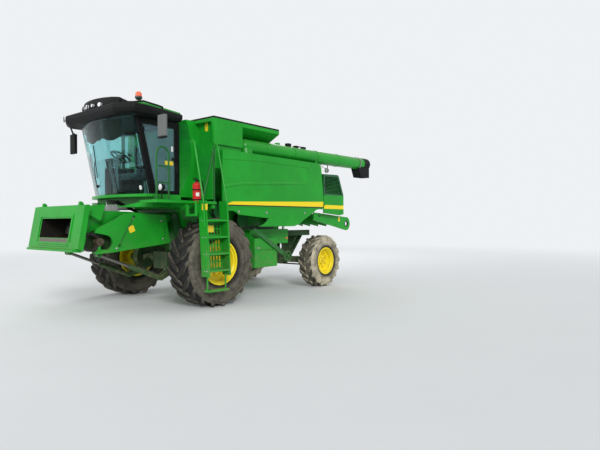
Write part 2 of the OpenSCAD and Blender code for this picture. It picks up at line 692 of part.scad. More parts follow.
// Spreader hood behind the chopper, hinged at its front upper corners
spreader_pin = [-3520, 1765];
spreader_pin_d = 50;
module straw_spreader() color(green) {
    both() difference() {
        xz(concat([[-3290, 1825], [-3290, 1640], [-4700, 1370]], arc([-4720, 1545], 175, -85, 60, 8),
            [[-4650, 1722]]),
            spreader_half_w - 30, spreader_half_w);
        across(-4700, 1545, 0, 2000, 130);
        across(spreader_pin.x, spreader_pin.y, 0, 2000, spreader_pin_d + running_fit);
    }
    xz([[-3640, 1798], [-3640, 1775], [-4800, 1683], [-4800, 1706]], -spreader_half_w + 5,
        spreader_half_w - 5);
    both() for (i = [0 : vane_pairs - 1]) {
        y = 120 + i * (spreader_half_w - 260) / (vane_pairs - 1);
        translate([-4600, y, 0]) rotate([0, 0, -6 - 5 * i])
            xz([[900, 1780], [800, 1650], [-120, 1470], [-150, 1700]], -5, 5);
    }
}

// Cab floor with its two bearers, and the curved apron under the windscreen
module cab_floor() color(green) {
    plan = concat([[cab_rear, -cab_half_w - 40], [pillar_foot_x, -cab_half_w - 40]],
        arc([-560, 0], 1950, -29, 29, 10), [[pillar_foot_x, cab_half_w + 40], [cab_rear, cab_half_w + 40]]);
    difference() {
        xy(plan, cab_sill - 240, cab_sill);
        // The apron's lower edge swoops up towards both sides
        yz(arc([0, cab_sill + 3595], 3835, -108, -72, 16), 1000, 1500);
    }
    both() box([body_front + seat_gap, 560, 1850], [1150, 640, cab_sill - 195]);
}
tilt = atan2(pillar_head_x - pillar_foot_x, cab_head - cab_sill);
function pillar_x(z) = pillar_foot_x + (pillar_head_x - pillar_foot_x) * (z - cab_sill)
    / (cab_head - cab_sill);
module post(x0, x1, y) xz([[x0, cab_sill], [x0 - pillar_t, cab_sill], [x1 - pillar_t, cab_head], [x1,
    cab_head]],
    y - pillar_t, y);
screen_r1 = (pow(cab_half_w, 2) + pow(screen_bulge, 2)) / (2 * screen_bulge);
// The door's hinge axis runs up the pillar, just outside it; a hinge sits at each of these heights
hinge_out = 16;
door_pin_d = 14;
door_barrel_h = 60;
door_hinges = [180, 1130];
module on_door_axis() translate([pillar_foot_x, cab_half_w + hinge_out, cab_sill]) rotate([0, tilt, 0])
    children();
module cab_frame() color(black) {
    on_door_axis() for (h = door_hinges) {
        translate([0, 0, h - 14]) cylinder(d = door_pin_d, h = door_barrel_h + 28);
        for (z = [h - 14, h + door_barrel_h + seat_gap]) {
            translate([0, 0, z]) cylinder(d = 28, h = 14 - seat_gap);
            box([-14, -hinge_out - 8, z], [14, 0, z + 14 - seat_gap]);
        }
    }
    both() post(pillar_foot_x, pillar_head_x, cab_half_w);
    both() post(cab_rear + pillar_t, cab_rear + pillar_t, cab_half_w);
    both() box([cab_rear, cab_half_w - pillar_t, cab_head - pillar_t], [pillar_head_x - 5, cab_half_w,
        cab_head]);
    box([cab_rear, -cab_half_w + 5, cab_head - pillar_t], [cab_rear + pillar_t, cab_half_w - 5, cab_head]);
    box([cab_rear, -cab_half_w + 5, cab_sill], [cab_rear + pillar_t, cab_half_w - 5, cab_sill + pillar_t]);
    on_right() box([cab_rear + 5, cab_half_w - pillar_t, cab_sill], [pillar_foot_x - 5, cab_half_w,
        cab_sill + 40]);
}
module cab_glass() color(glass) {
    // Windscreen: part of a leaning cylinder
    z0 = cab_sill + seat_gap;
    z1 = cab_head - seat_gap;
    intersection() {
        translate([pillar_foot_x, 0, cab_sill]) rotate([0, tilt, 0])
            translate([screen_bulge - screen_r1, 0, -400]) difference() {
                cylinder(r = screen_r1, h = 2200);
                translate([0, 0, -1]) cylinder(r = screen_r1 - glass_t, h = 2202);
            }
        box([pillar_foot_x - 60, -cab_half_w + pillar_t + 3, z0], [2000, cab_half_w - pillar_t - 3, z1]);
    }
    pane_top = cab_head - pillar_t - seat_gap;
    pane_low = cab_sill + 40 + seat_gap;
    pane_rear = cab_rear + pillar_t + seat_gap;
    on_right() xz([[pane_rear, pane_low], [pane_rear, pane_top],
        [pillar_x(pane_top) - pillar_t - seat_gap, pane_top], [pillar_x(pane_low)
            - pillar_t - seat_gap, pane_low]],
        cab_half_w - 30, cab_half_w - 30 + glass_t);
    box([cab_rear + 20, -cab_half_w + pillar_t + seat_gap, cab_sill + pillar_t + seat_gap],
        [cab_rear + 20 + glass_t, cab_half_w - pillar_t - seat_gap, pane_top]);
}
// The door hangs on the left front pillar; its outline leaves a gap to the frame on every side
door_gap = 8;
function door_outline(m) = [
    [cab_rear + pillar_t + door_gap + m, cab_sill + door_gap + 12 + m],
    [cab_rear + pillar_t + door_gap + m, cab_head - pillar_t - door_gap - m],
    [pillar_x(cab_head - pillar_t) - pillar_t - door_gap - m * 1.1, cab_head - pillar_t - door_gap - m],
    [pillar_x(cab_sill + 20) - pillar_t - door_gap - m * 1.1, cab_sill + door_gap + 12 + m]];
module cab_door() color(black) {
    difference() {
        xz(door_outline(0), cab_half_w - 45, cab_half_w);
        xz(door_outline(48), cab_half_w - 60, cab_half_w + 10);
    }
    on_door_axis() for (h = door_hinges) difference() {
        union() {
            translate([0, 0, h]) cylinder(d = 28, h = door_barrel_h);
            box([-120, -14, h], [0, -8, h + door_barrel_h]);
            box([-120, -hinge_out - 3, h], [-68, -8, h + door_barrel_h]);
        }
        translate([0, 0, h - 5]) cylinder(d = door_pin_d + running_fit, h = door_barrel_h + 10);
    }
    // Handle
    box([cab_rear + pillar_t + 20, cab_half_w - 2, 2760], [cab_rear + pillar_t + 120, cab_half_w + 30,
        2800]);
}
module door_glass() color(glass) xz(door_outline(48.3), cab_half_w - 28, cab_half_w - 28 + glass_t);

// Roof: a black tray with two wings, the raised visor at its front, and the green cap behind it
// Outline of the roof seen from above, drawn in by m on every side
function roof_plan(m) = concat([[cab_rear - 40 + m, -1000 + m], [1200, -1180 + m]],
    arc([1480, -1060], 120 - m, -90, -25, 4), [[wing.x - m, -wing.y], [tray_front - m, -480],
    [tray_front + 2 - m, 0], [tray_front - m, 480], [wing.x - m, wing.y]], arc([1480, 1060], 120 - m,
        25, 90, 4),
    [[1200, 1180 - m], [cab_rear - 40 + m, 1000 - m]]);
// Corner of a wing, and the foremost point of the tray
wing = [1735, 820];
tray_front = 1704;
tray_z = cab_head + seat_gap;
cap_z = tray_z + roof_h + seat_gap;
// The raised visor: its front is an arc seen from above, and its ends run straight back
visor_front = 1690;
visor_arc_r = 1100;
visor_rear = 1180;
visor_half_w = 640;
visor_middle = visor_front - visor_arc_r;
visor_foot = tray_z + 100;
// Height where the front begins to round off, and how far it leans back up to there
visor_brow = tray_z + roof_h + visor_rise - 72;
visor_lean = 20;
visor_tilt = atan2(visor_lean, visor_brow - visor_foot);
function visor_r(z) = visor_arc_r - visor_lean * (z - visor_foot) / (visor_brow - visor_foot);
function visor_plan(m) = let (r = visor_arc_r - m, a = asin((visor_half_w - m) / r)) concat(
    [[visor_rear, -visor_half_w + m]], arc([visor_middle, 0], r, -a, a, 14), [[visor_rear,
        visor_half_w - m]]);
module cab_roof() color(black) {
    top = tray_z + roof_h + visor_rise;
    hull() {
        translate([0, 0, tray_z]) linear_extrude(2) polygon(roof_plan(80));
        translate([0, 0, tray_z + 36]) linear_extrude(2) polygon(roof_plan(22));
        translate([0, 0, tray_z + 90]) linear_extrude(roof_h - 110) polygon(roof_plan(0));
        translate([0, 0, tray_z + roof_h - 2]) linear_extrude(2) polygon(roof_plan(16));
    }
    intersection() {
        hull() {
            translate([0, 0, visor_foot]) linear_extrude(1) polygon(visor_plan(0));
            translate([0, 0, visor_brow - 1]) linear_extrude(1) polygon(visor_plan(visor_lean));
            translate([0, 0, top - 20]) linear_extrude(1) polygon(visor_plan(34));
            translate([0, 0, top - 1]) linear_extrude(1) polygon(visor_plan(62));
        }
        // The visor's top falls towards the cap behind it
        xz([[visor_rear - 1, visor_foot - 1], [visor_front + 1, visor_foot - 1], [visor_front + 1,
            top + 1], [1520, top + 1],
            [visor_rear - 1, top - 90]], -visor_half_w, visor_half_w);
    }
}
cap_h = 84;
module roof_cap() color(green) difference() {
    hull() {
        translate([0, 0, cap_z]) linear_extrude(26) polygon(roof_plan(28));
        translate([0, 0, cap_z + 48]) linear_extrude(2) polygon(roof_plan(80));
        box([cab_rear + 80, -560, cap_z + 20], [1420, 560, cap_z + cap_h]);
    }
    // Room for the visor; the wings' fronts stay bare too
    box([visor_rear - seat_gap, -visor_half_w - seat_gap, cap_z - 1], [1800, visor_half_w + seat_gap,
        cap_z + 200]);
    box([1330, -1300, cap_z - 1], [1800, 1300, cap_z + 200]);
    translate([beacon.x, beacon.y, cap_z - 1]) cylinder(d = beacon_stem_d + 8, h = 200);
}
// Slope of the roof's front edge on the wings
wing_slope = 0.503;
wing_lamp_d = 76;
// Angle round the visor's arc and diameter of each lamp
visor_lamps = [[-15.2, 78], [-5.1, 100], [5.1, 72], [15.2, 90]];
visor_lamp_z = tray_z + roof_h + 66;
beacon = [1210, 820];
beacon_stem_d = 36;
module roof_lamps() color("#e9e9e2") {
    for (l = visor_lamps) translate([visor_middle, 0, visor_lamp_z]) rotate([0, 0, l[0]])
        translate([visor_r(visor_lamp_z), 0, 0]) rotate([0, 90 - visor_tilt, 0]) translate([0, 0,
            seat_gap]) lamp(l[1]);
    on_right() for (y = [865, 975]) translate([wing.x - (y - wing.y) * wing_slope, y, tray_z + 122])
        rotate([0, 90, atan(wing_slope)]) translate([0, 0, seat_gap]) lamp(wing_lamp_d);
    // Beacon: stem, foot, base and dome
    translate([beacon.x, beacon.y, cap_z]) {
        cylinder(d = beacon_stem_d, h = 150);
        translate([0, 0, 148]) cylinder(d1 = 80, d2 = 132, h = 30);
        translate([0, 0, 177]) cylinder(d = 132, h = 34);
        translate([0, 0, 210]) cylinder(d = 118, h = 54);
        translate([0, 0, 263]) intersection() {
            translate([0, 0, -26]) sphere(d = 129);
            cylinder(d = 117, h = 60);
        }
    }
}
// A lamp: its housing and the lens that stands in it
module lamp(d) {
    cylinder(d1 = d * 0.9, d2 = d, h = 26);
    translate([0, 0, 25]) cylinder(d = d * 0.86, h = 6);
}

// Driver's seat, controls, mirrors
module seat() color("#3a3d3f") {
    x = 620;
    box([x, -150, cab_sill], [x + 300, 150, cab_sill + 300]);
    box([x - 60, -240, cab_sill + 300], [x + 420, 240, cab_sill + 430]);
    xz([[x - 60, cab_sill + 425], [x + 60, cab_sill + 425], [x, cab_sill + 1080], [x - 90,
        cab_sill + 1080]], -230, 230);
}
module cab_controls() color(black) {
    xz([[1120, cab_sill], [1210, cab_sill], [1150, cab_sill + 720], [1090, cab_sill + 700]], -50, 50);
    translate([1080, 0, cab_sill + 730]) rotate([0, -30, 0]) {
        difference() {
            cylinder(d = 380, h = 26);
            translate([0, 0, -1]) cylinder(d = 330, h = 28);
        }
        box([-170, -15, 2], [170, 15, 20]);
        box([-60, -60, -30], [60, 60, 22]);
    }
    box([560, -560, cab_sill], [1080, -330, cab_sill + 560]);
}
// A mirror: a tall housing with round edges on an arm through the given points
mirror_x = 1220;
mirror_y = 1530;
module mirror_head(arm) {
    x = mirror_x;
    y = mirror_y;
    hull() for (side = [-1, 1], z = [3050, 3430]) translate([x, y + side * 80, z - 30 * abs(z - 3240)
        / 380])
        cylinder(d = 64, h = 20);
    pipe(concat(arm, [[x, y, 3425]]), rail_d);
}
module mirrors() color(black) {
    // The left arm stands on the tray's wing, the right one on the tray's side
    top_z = tray_z + roof_h + seat_gap;
    mirror_head([[1570, 900, top_z], [1570, 900, top_z + 34], [1450, 1010, top_z + 38], [1390, 1230,
        top_z + 30],
        [1240, 1420, top_z - 45], [mirror_x, mirror_y, top_z - 90]]);
    side_z = tray_z + 120;
    on_right() mirror_head([[1480, 1180 + seat_gap, side_z], [1480, 1220, side_z], [1280, 1500,
        side_z - 60]]);
}

// Platform beside the cab, its rails, the ladder and the extinguisher
module platform() color(green) {
    box([-20, cab_half_w + 50, platform_z - 50], [platform_front, platform_y, platform_z]);
    box([-20, body_half_w + 5, platform_z - 130], [60, platform_y - 40, platform_z - 45]);
    box([600, cab_half_w + 40 + seat_gap, platform_z - 110], [680, platform_y - 40, platform_z - 45]);
    // Lugs of the ladder's hinge
    for (z = [platform_z - 55, ladder_pin_low]) difference() {
        union() {
            box([ladder_pin.x - 30, platform_y - 60, z], [ladder_pin.x + 30, ladder_pin.y, z + 40]);
            translate([ladder_pin.x, ladder_pin.y, z]) cylinder(d = 60, h = 40);
        }
        translate([ladder_pin.x, ladder_pin.y, z - 5]) cylinder(d = ladder_pin_d + running_fit, h = 50);
    }
    box([ladder_pin.x - 30, platform_y - 60, ladder_pin_low + 35], [ladder_pin.x + 30, platform_y - 30,
        platform_z - 20]);
}
ladder_pin = [640, 1700];
ladder_pin_d = 30;
ladder_pin_low = 1700;
module handrails() color(dark_green) {
    y = platform_y - 20;
    z = platform_z + seat_gap;
    pipe(concat([[1060, y, z]], [for (p = arc([1185, 2770], 125, 180, 0, 5)) [p.x, y, p.y]], [[1310, y,
        z]]), rail_d);
    for (h = [2280, 2560]) rod([1060, y, h], [1310, y, h], rail_d * 0.8);
    pipe([[20, y, z], [20, y, 3020], [-60, y - 60, 3050]], rail_d);
    rod([300, y, z + 12], [20, y, 3000], rail_d);
}
ladder_out = reach_left;
ladder_lean = 90;
step_count = 4;
step_pitch = 300;
ladder_x = ladder_pin.x - 60;
slot_count = 6;
plate_t = 24;
ladder_top = platform_z - 5;
// Outer edge of a side plate at height z
function ladder_edge(z) = ladder_out - ladder_lean * (z - ladder_foot_z) / (ladder_top - ladder_foot_z);
// Side plates, the front one with its hinge tube and pin
module ladder() color(green) {
    top = ladder_top;
    foot = ladder_foot_z;
    plate = [[ladder_edge(top), top], [ladder_edge(foot), foot], [ladder_edge(foot) - ladder_depth, foot],
        [ladder_edge(top) - ladder_depth, top]];
    for (x = [ladder_x - plate_t, ladder_x - ladder_w]) yz(plate, x, x + plate_t);
    translate([ladder_pin.x, ladder_pin.y, ladder_pin_low + 40 + seat_gap]) {
        h = platform_z - 55 - ladder_pin_low - 40 - 2 * seat_gap;
        cylinder(d = 54, h = h);
        box([-70, -18, 10], [0, 18, h - 10]);
        translate([0, 0, -45]) cylinder(d = ladder_pin_d, h = h + 90);
    }
    box([ladder_x - plate_t, ladder_pin.y - 18, ladder_pin_low + 60], [ladder_x + 5, ladder_pin.y + 60,
        platform_z - 70]);
}
// Steps between the plates; the lowest hangs on two straps
step_t = 34;
step_low = 85;
module ladder_steps() color(green) {
    x0 = ladder_x - ladder_w + plate_t + seat_gap;
    x1 = ladder_x - plate_t - seat_gap;
    foot = ladder_foot_z;
    for (i = [0 : step_count - 1]) {
        z = foot + step_low + i * step_pitch;
        box([x0, ladder_edge(z) - ladder_depth + 20, z], [x1, ladder_edge(z), z + step_t]);
    }
    for (x = [x0 + 6, x1 - 36]) box([x, ladder_out - 110, foot - 250], [x + 30, ladder_out - 98,
        foot + step_low + 5]);
    box([x0, ladder_out - 170, foot - 270], [x1, ladder_out - 20, foot - 240]);
}
// Hand rails on the outsides of the plates; above the platform they lean in towards it
rail_in_y = 1610;
rail_top = 3010;
module ladder_rails() color(green) {
    // The balls in the bends touch the plates
    side = seat_gap + rail_d * bend_swell / 2;
    for (end = [[ladder_x + side, 1500], [ladder_x - ladder_w - side, 1100]]) pipe([
        [end[0], ladder_edge(end[1]) - 30, end[1]], [end[0], ladder_edge(ladder_top - 60) - 30,
            ladder_top - 60],
        [end[0], rail_in_y, rail_top], [end[0], rail_in_y - 30, rail_top + 45], [end[0],
            rail_in_y - 80, rail_top + 50],
        [end[0], rail_in_y - 105, rail_top]], rail_d);
}
// Slotted plate behind the steps, between the side plates
grille_t = 15;
// Place of the slotted plate's front face at height z, just behind the steps
function face_y(z) = ladder_edge(z) - ladder_depth + 20 - seat_gap;
module ladder_grille() color(green) {
    low = ladder_foot_z + 60;
    high = ladder_foot_z + 60 + (step_count - 1) * step_pitch + 30;
    x0 = ladder_x - ladder_w + plate_t + seat_gap;
    x1 = ladder_x - plate_t - seat_gap;
    slot_pitch = (x1 - x0 - 60) / slot_count;
    difference() {
        yz([[face_y(low), low], [face_y(high), high], [face_y(high) - grille_t, high],
            [face_y(low) - grille_t, low]], x0, x1);
        for (i = [0 : step_count - 2], k = [0 : slot_count - 1], h = [60, 176]) {
            z = ladder_foot_z + step_low + i * step_pitch + h;
            x = x0 + 38 + k * slot_pitch;
            box([x, ladder_out - ladder_lean - ladder_depth - 40, z], [x + slot_pitch - 22, ladder_out,
                z + 92]);
        }
    }
}
module fire_extinguisher() color("#c8201c") {
    x = 520;
    y = platform_y + 76;
    translate([x, y, platform_z - 60]) cylinder(d = 150, h = 340);
    translate([x, y, platform_z + 275]) cylinder(d = 60, h = 60);
    box([x - 50, platform_y + seat_gap, platform_z - 40], [x + 50, y, platform_z - 10]);
}

// Feeder house: a duct hinged on the body, with the wide face that carries a header
duct_rear = 425;
face_top = [2265, 1878];
face_low = [2395, 1165];
mouth_low = 1335;
mouth_top = 1665;
duct = [[duct_rear, 1745], [1300, 1790], [2000, 1800], [2200, 1120], [duct_rear, 1150]];
face_t = 44;
face_lean = atan2(face_low.x - face_top.x, face_top.y - face_low.y);
// Draws with its origin on the face's top edge, Z down the face and X out of it
module on_face() translate([face_top.x, 0, face_top.y]) rotate([0, 180 - face_lean, 0]) mirror([1, 0,
    0]) children();
module feeder_house() color(green) {
    flange = mouth_half_w + 90;
    difference() {
        union() {
            xz(duct, -duct_half_w, duct_half_w);
            xz([[1960, face_top.y - 20], [2020, face_top.y + 5], face_top, face_low, [2330, 1120],
                [2150, 1100]],
                -flange, flange);
            // Front plate, its rolled top edge, the end plates and the lip
            xz([face_top - [face_t, 30], face_top, face_low, face_low - [face_t, 10]], -face_half_w,
                face_half_w);
            across(face_top.x - 56, face_top.y - 44, -face_half_w + 4, face_half_w - 4, 110);
            both() xz([face_top - [80, 70], face_top - [20, 8], face_low, [2300, 1130]],
                face_half_w - 30, face_half_w);
            xz([face_low, [face_reach, 1150], [face_reach, 1115], [2310, 1100], [2290, 1145]],
                -face_half_w + 60,
                face_half_w - 60);
            both() across(hinge_x, hinge_z, duct_half_w - 30, rail_in + 14, 130);
            both() xz([[hinge_x - 40, hinge_z - 50], [hinge_x - 40, hinge_z + 40], [duct_rear + 150, 1740],
                [duct_rear + 150, 1500]], duct_half_w - 30, duct_half_w);
            // Frame round the crop opening and the wear strips under it
            on_face() difference() {
                box([-5, -mouth_half_w - 70, 150], [14, mouth_half_w + 70, 620]);
                box([-6, -mouth_half_w - 40, 190], [15, mouth_half_w + 40, 760]);
            }
            on_face() for (z = [640, 672]) box([-5, -mouth_half_w - 20, z], [10, mouth_half_w + 20,
                z + 22]);
        }
        xz([[duct_rear - 20, 1740 - duct_t], [1300, 1790 - duct_t], [2000, mouth_top], [2500, mouth_top],
            [2500, mouth_low], [2000, mouth_low], [1900, 1125 + 1.5 * duct_t], [duct_rear - 20,
                1150 + duct_t]],
            -mouth_half_w, mouth_half_w);
        both() across(hinge_x, hinge_z, duct_half_w - 60, rail_in + 20, hinge_pin_d + running_fit);
        for (x = [drum_x, roller_x])
            across(x, drum_z, -duct_half_w - 10, duct_half_w + 10, drum_shaft_d + running_fit);
    }
    // Hooks on the top edge
    both() translate([face_top.x, 0, face_top.y]) xz(concat([[-110, -30], [-90, 40]], arc([-50, 46],
        22, 150, 20, 4),
        [[-22, -5]]), face_half_w - 270, face_half_w - 215);
    // Gussets from the top edge backwards
    both() xz([[2215, 1830], [2170, 1868], [1850, 1905], [1826, 1885], [1900, 1640], [1930, 1628],
        [2245, 1800]], 735,
        749);
    lift_lugs([[1700, 1180], [1990, 1150]], lift_eye, 10, -190);
}
drum_x = 1740;
drum_z = 1450;
drum_r = 150;
drum_shaft_d = 44;
// The chain runs round the front drum and a rear roller of the same size
roller_x = 660;
chain_t = 16;
slat_h = 26;
slats = 16;
chain_r = drum_r + seat_gap;
chain_loop = 2 * (drum_x - roller_x) + 2 * PI * chain_r;
// Place of a slat at distance s along the loop: [x, z, direction outwards]
function on_loop(s) = let (run = drum_x - roller_x, bend = PI * chain_r)
    s < run ? [roller_x + s, drum_z, 90]
    : s < run + bend ? [drum_x, drum_z, 90 - 180 * (s - run) / bend]
    : s < 2 * run + bend ? [drum_x - (s - run - bend), drum_z, -90]
    : [roller_x, drum_z, -90 - 180 * (s - 2 * run - bend) / bend];
module feeder_chain() color(steel) {
    across(drum_x, drum_z, -mouth_half_w + 6, mouth_half_w - 6, 2 * drum_r);
    across(roller_x, drum_z, -mouth_half_w + 6, mouth_half_w - 6, 2 * drum_r);
    for (x = [drum_x, roller_x]) across(x, drum_z, -duct_half_w - 120, duct_half_w + 60, drum_shaft_d);
    // Three strands of chain with the slats across them
    for (y = [-420, 0, 420]) difference() {
        loop(chain_r + chain_t, y - 24, y + 24);
        loop(chain_r, y - 30, y + 30);
    }
    for (i = [0 : slats - 1]) {
        at = on_loop(i * chain_loop / slats);
        translate([at.x, 0, at.y]) rotate([0, 90 - at.z, 0])
            box([-22, -mouth_half_w + 25, chain_r + chain_t / 2], [22, mouth_half_w - 25,
                chain_r + slat_h]);
    }
}
module loop(r, y0, y1) xz(concat(arc([drum_x, drum_z], r, 90, -90, 16), arc([roller_x, drum_z], r, -90,
    -270, 16)), y0, y1);
shield_gap = 8;
flange_y = mouth_half_w + 90;
shield_depth = 50;
perforation_d = 26;
// Left side shield with its cut-out for the header drive, the holes at its rear and the latch rod
module feeder_drive() color(green) {
    y0 = rail_out + shield_gap;
    y1 = y0 + shield_depth;
    difference() {
        xz(concat([[2020, 1420], [1990, 1490], [1460, 1745]], arc([1270, 1640], 130, 75, 100, 3),
            [[600, 1715], [500, 1195], [1740, 1070]], [[2000, 1062], [2022, 1090]],
            arc([1830, 1250], 130, -85, -265, 10)), y0, y1);
        xz([[1950, 1470], [1440, 1705], [1270, 1725], [635, 1680], [540, 1230], [1600, 1150], [1600,
            1400]], y0 - 10,
            y1 - 12);
        for (i = [0 : 3], k = [0 : 6]) across(620 - i * 44, 1345 + k * 52 + (i % 2) * 26, y1 - 20, y1 + 5,
            perforation_d);
    }
    for (p = [[700, 1500], [1500, 1600]]) across(p.x, p.y, duct_half_w + seat_gap, y1 - 10, 60);
    // Latch rod on two clips
    rod([1296, y1 + 14, 1716], [1588, y1 + 14, 1174], 16);
    for (p = [[1296, 1700], [1580, 1190]]) across(p.x, p.y, y1 - 5, y1 + 26, 34);
    // Header drive: shaft end with its flange, carried by the shield's lower edge, and the guard ring
    x = 1924;
    z = 1262;
    ring_y = flange_y + 20;
    box([1600, y0 + 2, 1072], [x + 20, y0 + 12, 1130]);
    box([x - 24, flange_y + 10, 1090], [x + 24, y0 + 12, z]);
    across(x, z, flange_y + 10, y1 - 4, 130);
    across(x, z, flange_y + 10, y1 + 40, 54);
    difference() {
        across(2080, z, ring_y, ring_y + 90, 320);
        across(2080, z, ring_y - 5, ring_y + 95, 236);
    }
    box([x, ring_y + 20, z - 22], [1970, ring_y + 60, z + 22]);
}
module header_coupler() color(steel) {
    z = 1796 + seat_gap;
    box([1440, 400, z], [1700, 560, z + 26]);
    box([1470, 440, z + 20], [1660, 550, z + 95]);
    for (x = [1500 : 45 : 1640]) translate([x, 500, z + 90]) cylinder(d = 30, h = 26);
    // Wire handle
    pipe([[1450, 410, z + 20], [1420, 420, z + 130], [1560, 440, z + 150], [1690, 550, z + 140], [1690,
        550, z + 20]], 16);
}

// Lift cylinders: barrels on the axle, rods towards the feeder
lift_dir = lift_eye - lift_foot;
lift_len = norm(lift_dir);
lift_angle = atan2(lift_dir.y, lift_dir.x);
barrel_len = 720;
rod_len = 690;
module along_lift() translate([lift_foot.x, lift_y, lift_foot.y]) rotate([0, -lift_angle, 0]) children();
eye_w = 2 * lug_gap - 12;
module lift_barrels() color(dark_green) both() difference() {
    along_lift() {
        rotate([90, 0, 0]) cylinder(d = 86, h = eye_w, center = true);
        box([0, -eye_w / 2, -30], [74, eye_w / 2, 30]);
        translate([68, 0, 0]) difference() {
            rotate([0, 90, 0]) cylinder(d = barrel_d, h = barrel_len - 68);
            translate([20, 0, 0]) rotate([0, 90, 0]) cylinder(d = lift_rod_d + running_fit, h = barrel_len);
        }
    }
    across(lift_foot.x, lift_foot.y, lift_y - 60, lift_y + 60, lift_pin_d + running_fit);
}
module lift_rods() color(steel) both() difference() {
    along_lift() {
        translate([lift_len, 0, 0]) rotate([90, 0, 0]) cylinder(d = 80, h = eye_w, center = true);
        translate([lift_len - rod_len, 0, 0]) rotate([0, 90, 0]) cylinder(d = lift_rod_d, h = rod_len - 26);
    }
    across(lift_eye.x, lift_eye.y, lift_y - 60, lift_y + 60, lift_pin_d + running_fit);
}

module service_box() color(green) {
    difference() {
        box([-2040, 900, 605], [-1310, 1250, 1240]);
        // Gap under the lid, and the grip below it
        box([-2050, 1240, 985], [-1300, 1260, 991]);
        box([-1900, 1236, 950], [-1700, 1260, 978]);
    }
    box([-2600, rail_out + seat_gap, 1100], [-1330, 1100, 1430]);
}
belt_t = 12;
pulley_gap = 60;
// x, z, radius of each pulley on the body's left wall
pulleys = [[-1280, 1640, 170], [-2300, 1700, 230], [-600, 1820, 150]];
// The outside of a belt round two pulleys, and of the same loop made r wider
function belt_line(a, b, r) = let (v = [b.x - a.x, b.y - a.y], way = atan2(v.y, v.x),
    lean = acos((a[2] - b[2]) / norm(v))) concat(arc([a.x, a.y], a[2] + r, way + lean,
        way + 360 - lean, 16),
    arc([b.x, b.y], b[2] + r, way - lean, way + lean, 16));
module belt(a, b, y) difference() {
    xz(belt_line(a, b, belt_t - 3), y, y + 32);
    xz(belt_line(a, b, -3), y - 1, y + 33);
}
module belt_drive() color(dark_green) {
    for (p = pulleys) {
        across(p.x, p.y, body_half_w + seat_gap, body_half_w + 130, 50);
        difference() {
            turned_at(p.x, p.y, [[0, pulley_gap], [p[2], pulley_gap], [p[2] - 10, pulley_gap + 20],
                [p[2], pulley_gap + 40], [0, pulley_gap + 40]]);
            for (a = [0 : 60 : 300]) across(p.x + p[2] * 0.55 * cos(a), p.y + p[2] * 0.55 * sin(a),
                body_half_w + 50, body_half_w + 110, p[2] * 0.36);
        }
    }
    belt(pulleys[0], pulleys[1], body_half_w + pulley_gap + 4);
    belt(pulleys[2], pulleys[0], body_half_w + pulley_gap + 48);
    across(pulleys[0].x, pulleys[0].y, body_half_w + 95, body_half_w + 146, 2 * pulleys[0][2] - 4);
    across(pulleys[2].x, pulleys[2].y, body_half_w + 95, body_half_w + 146, 2 * pulleys[2][2] - 4);
    // Tightener: a shaft, an arm of two bars and a spoked pulley at its end
    across(-1280, 1430, rail_out + 95, 1290, 44);
    box([-1305, body_half_w + seat_gap, 1405], [-1255, body_half_w + 50, 1560]);
    xz(concat(arc([-1280, 1430], 44, -60, 120, 6), arc(idler, 52, 120, 300, 6)), 1268, 1290);
    across(idler.x, idler.y, 1285, 1350, 40);
    translate([idler.x, 1300, idler.y]) {
        turned([[98, 0], [118, 0], [112, 20], [118, 40], [98, 40]]);
        across(0, 0, 0, 46, 64);
        for (a = [0 : 72 : 288]) rotate([0, a, 0]) box([20, 12, -8], [102, 28, 8]);
    }
}
idler = [-2330, 815];
module turned_at(x, z, points) translate([x, body_half_w, z]) turned(points);
module grain_elevator() color(green) on_right() {
    y0 = body_half_w + seat_gap;
    xz(concat(arc([-850, 1060], 190, 180, 360, 10), [[-660, 1300], [-720, 1340], [-720, 2215], [-980, 2185],
        [-980, 1340], [-1040, 1300]]), y0, y0 + 200);
    across(-850, 1060, y0 + 190, y0 + 240, 90);
}

placed() chassis();
placed() axle_hanger();
placed() drawbar_hitch();
placed() front_axle();
placed() rear_axle();
placed() knuckle_left();
placed() knuckle_right();
placed() tie_rod();
placed() front_left_rim();
placed() front_left_tyre();
placed() front_right_rim();
placed() front_right_tyre();
placed() rear_left_rim();
placed() rear_left_tyre();
placed() rear_right_rim();
placed() rear_right_tyre();
placed() separator_body();
placed() engine();
placed() engine_deck();
placed() rotary_screen();
placed() grain_tank();
placed() tank_augers();
placed() tank_cover_left();
placed() tank_cover_right();
placed() auger_turret();
placed() unloading_auger();
placed() auger_spout();
placed() left_side_panel();
placed() right_side_panel();
placed() rear_hood();
placed() chopper_housing();
placed() chopper_rotor();
placed() straw_spreader();
placed() cab_floor();
placed() cab_frame();
placed() cab_glass();
placed() cab_door();
placed() door_glass();
placed() cab_roof();
placed() roof_cap();
placed() roof_lamps();
placed() seat();
placed() cab_controls();
placed() mirrors();
placed() platform();
placed() handrails();
placed() ladder();
placed() ladder_steps();
placed() ladder_rails();
placed() ladder_grille();
placed() fire_extinguisher();
placed() feeder_house();
placed() feeder_chain();
placed() feeder_drive();
placed() header_coupler();
placed() lift_barrels();
placed() lift_rods();
placed() service_box();
placed() belt_drive();
placed() grain_elevator();
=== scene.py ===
# Looks of the combine harvester: finishes of all parts, small pieces, camera and studio.
# Metres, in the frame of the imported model: +X forward, +Y left, +Z up, ground at z = 0.
import bpy
import bmesh
import json
import math
from mathutils import Matrix, Vector
from mathutils.bvhtree import BVHTree

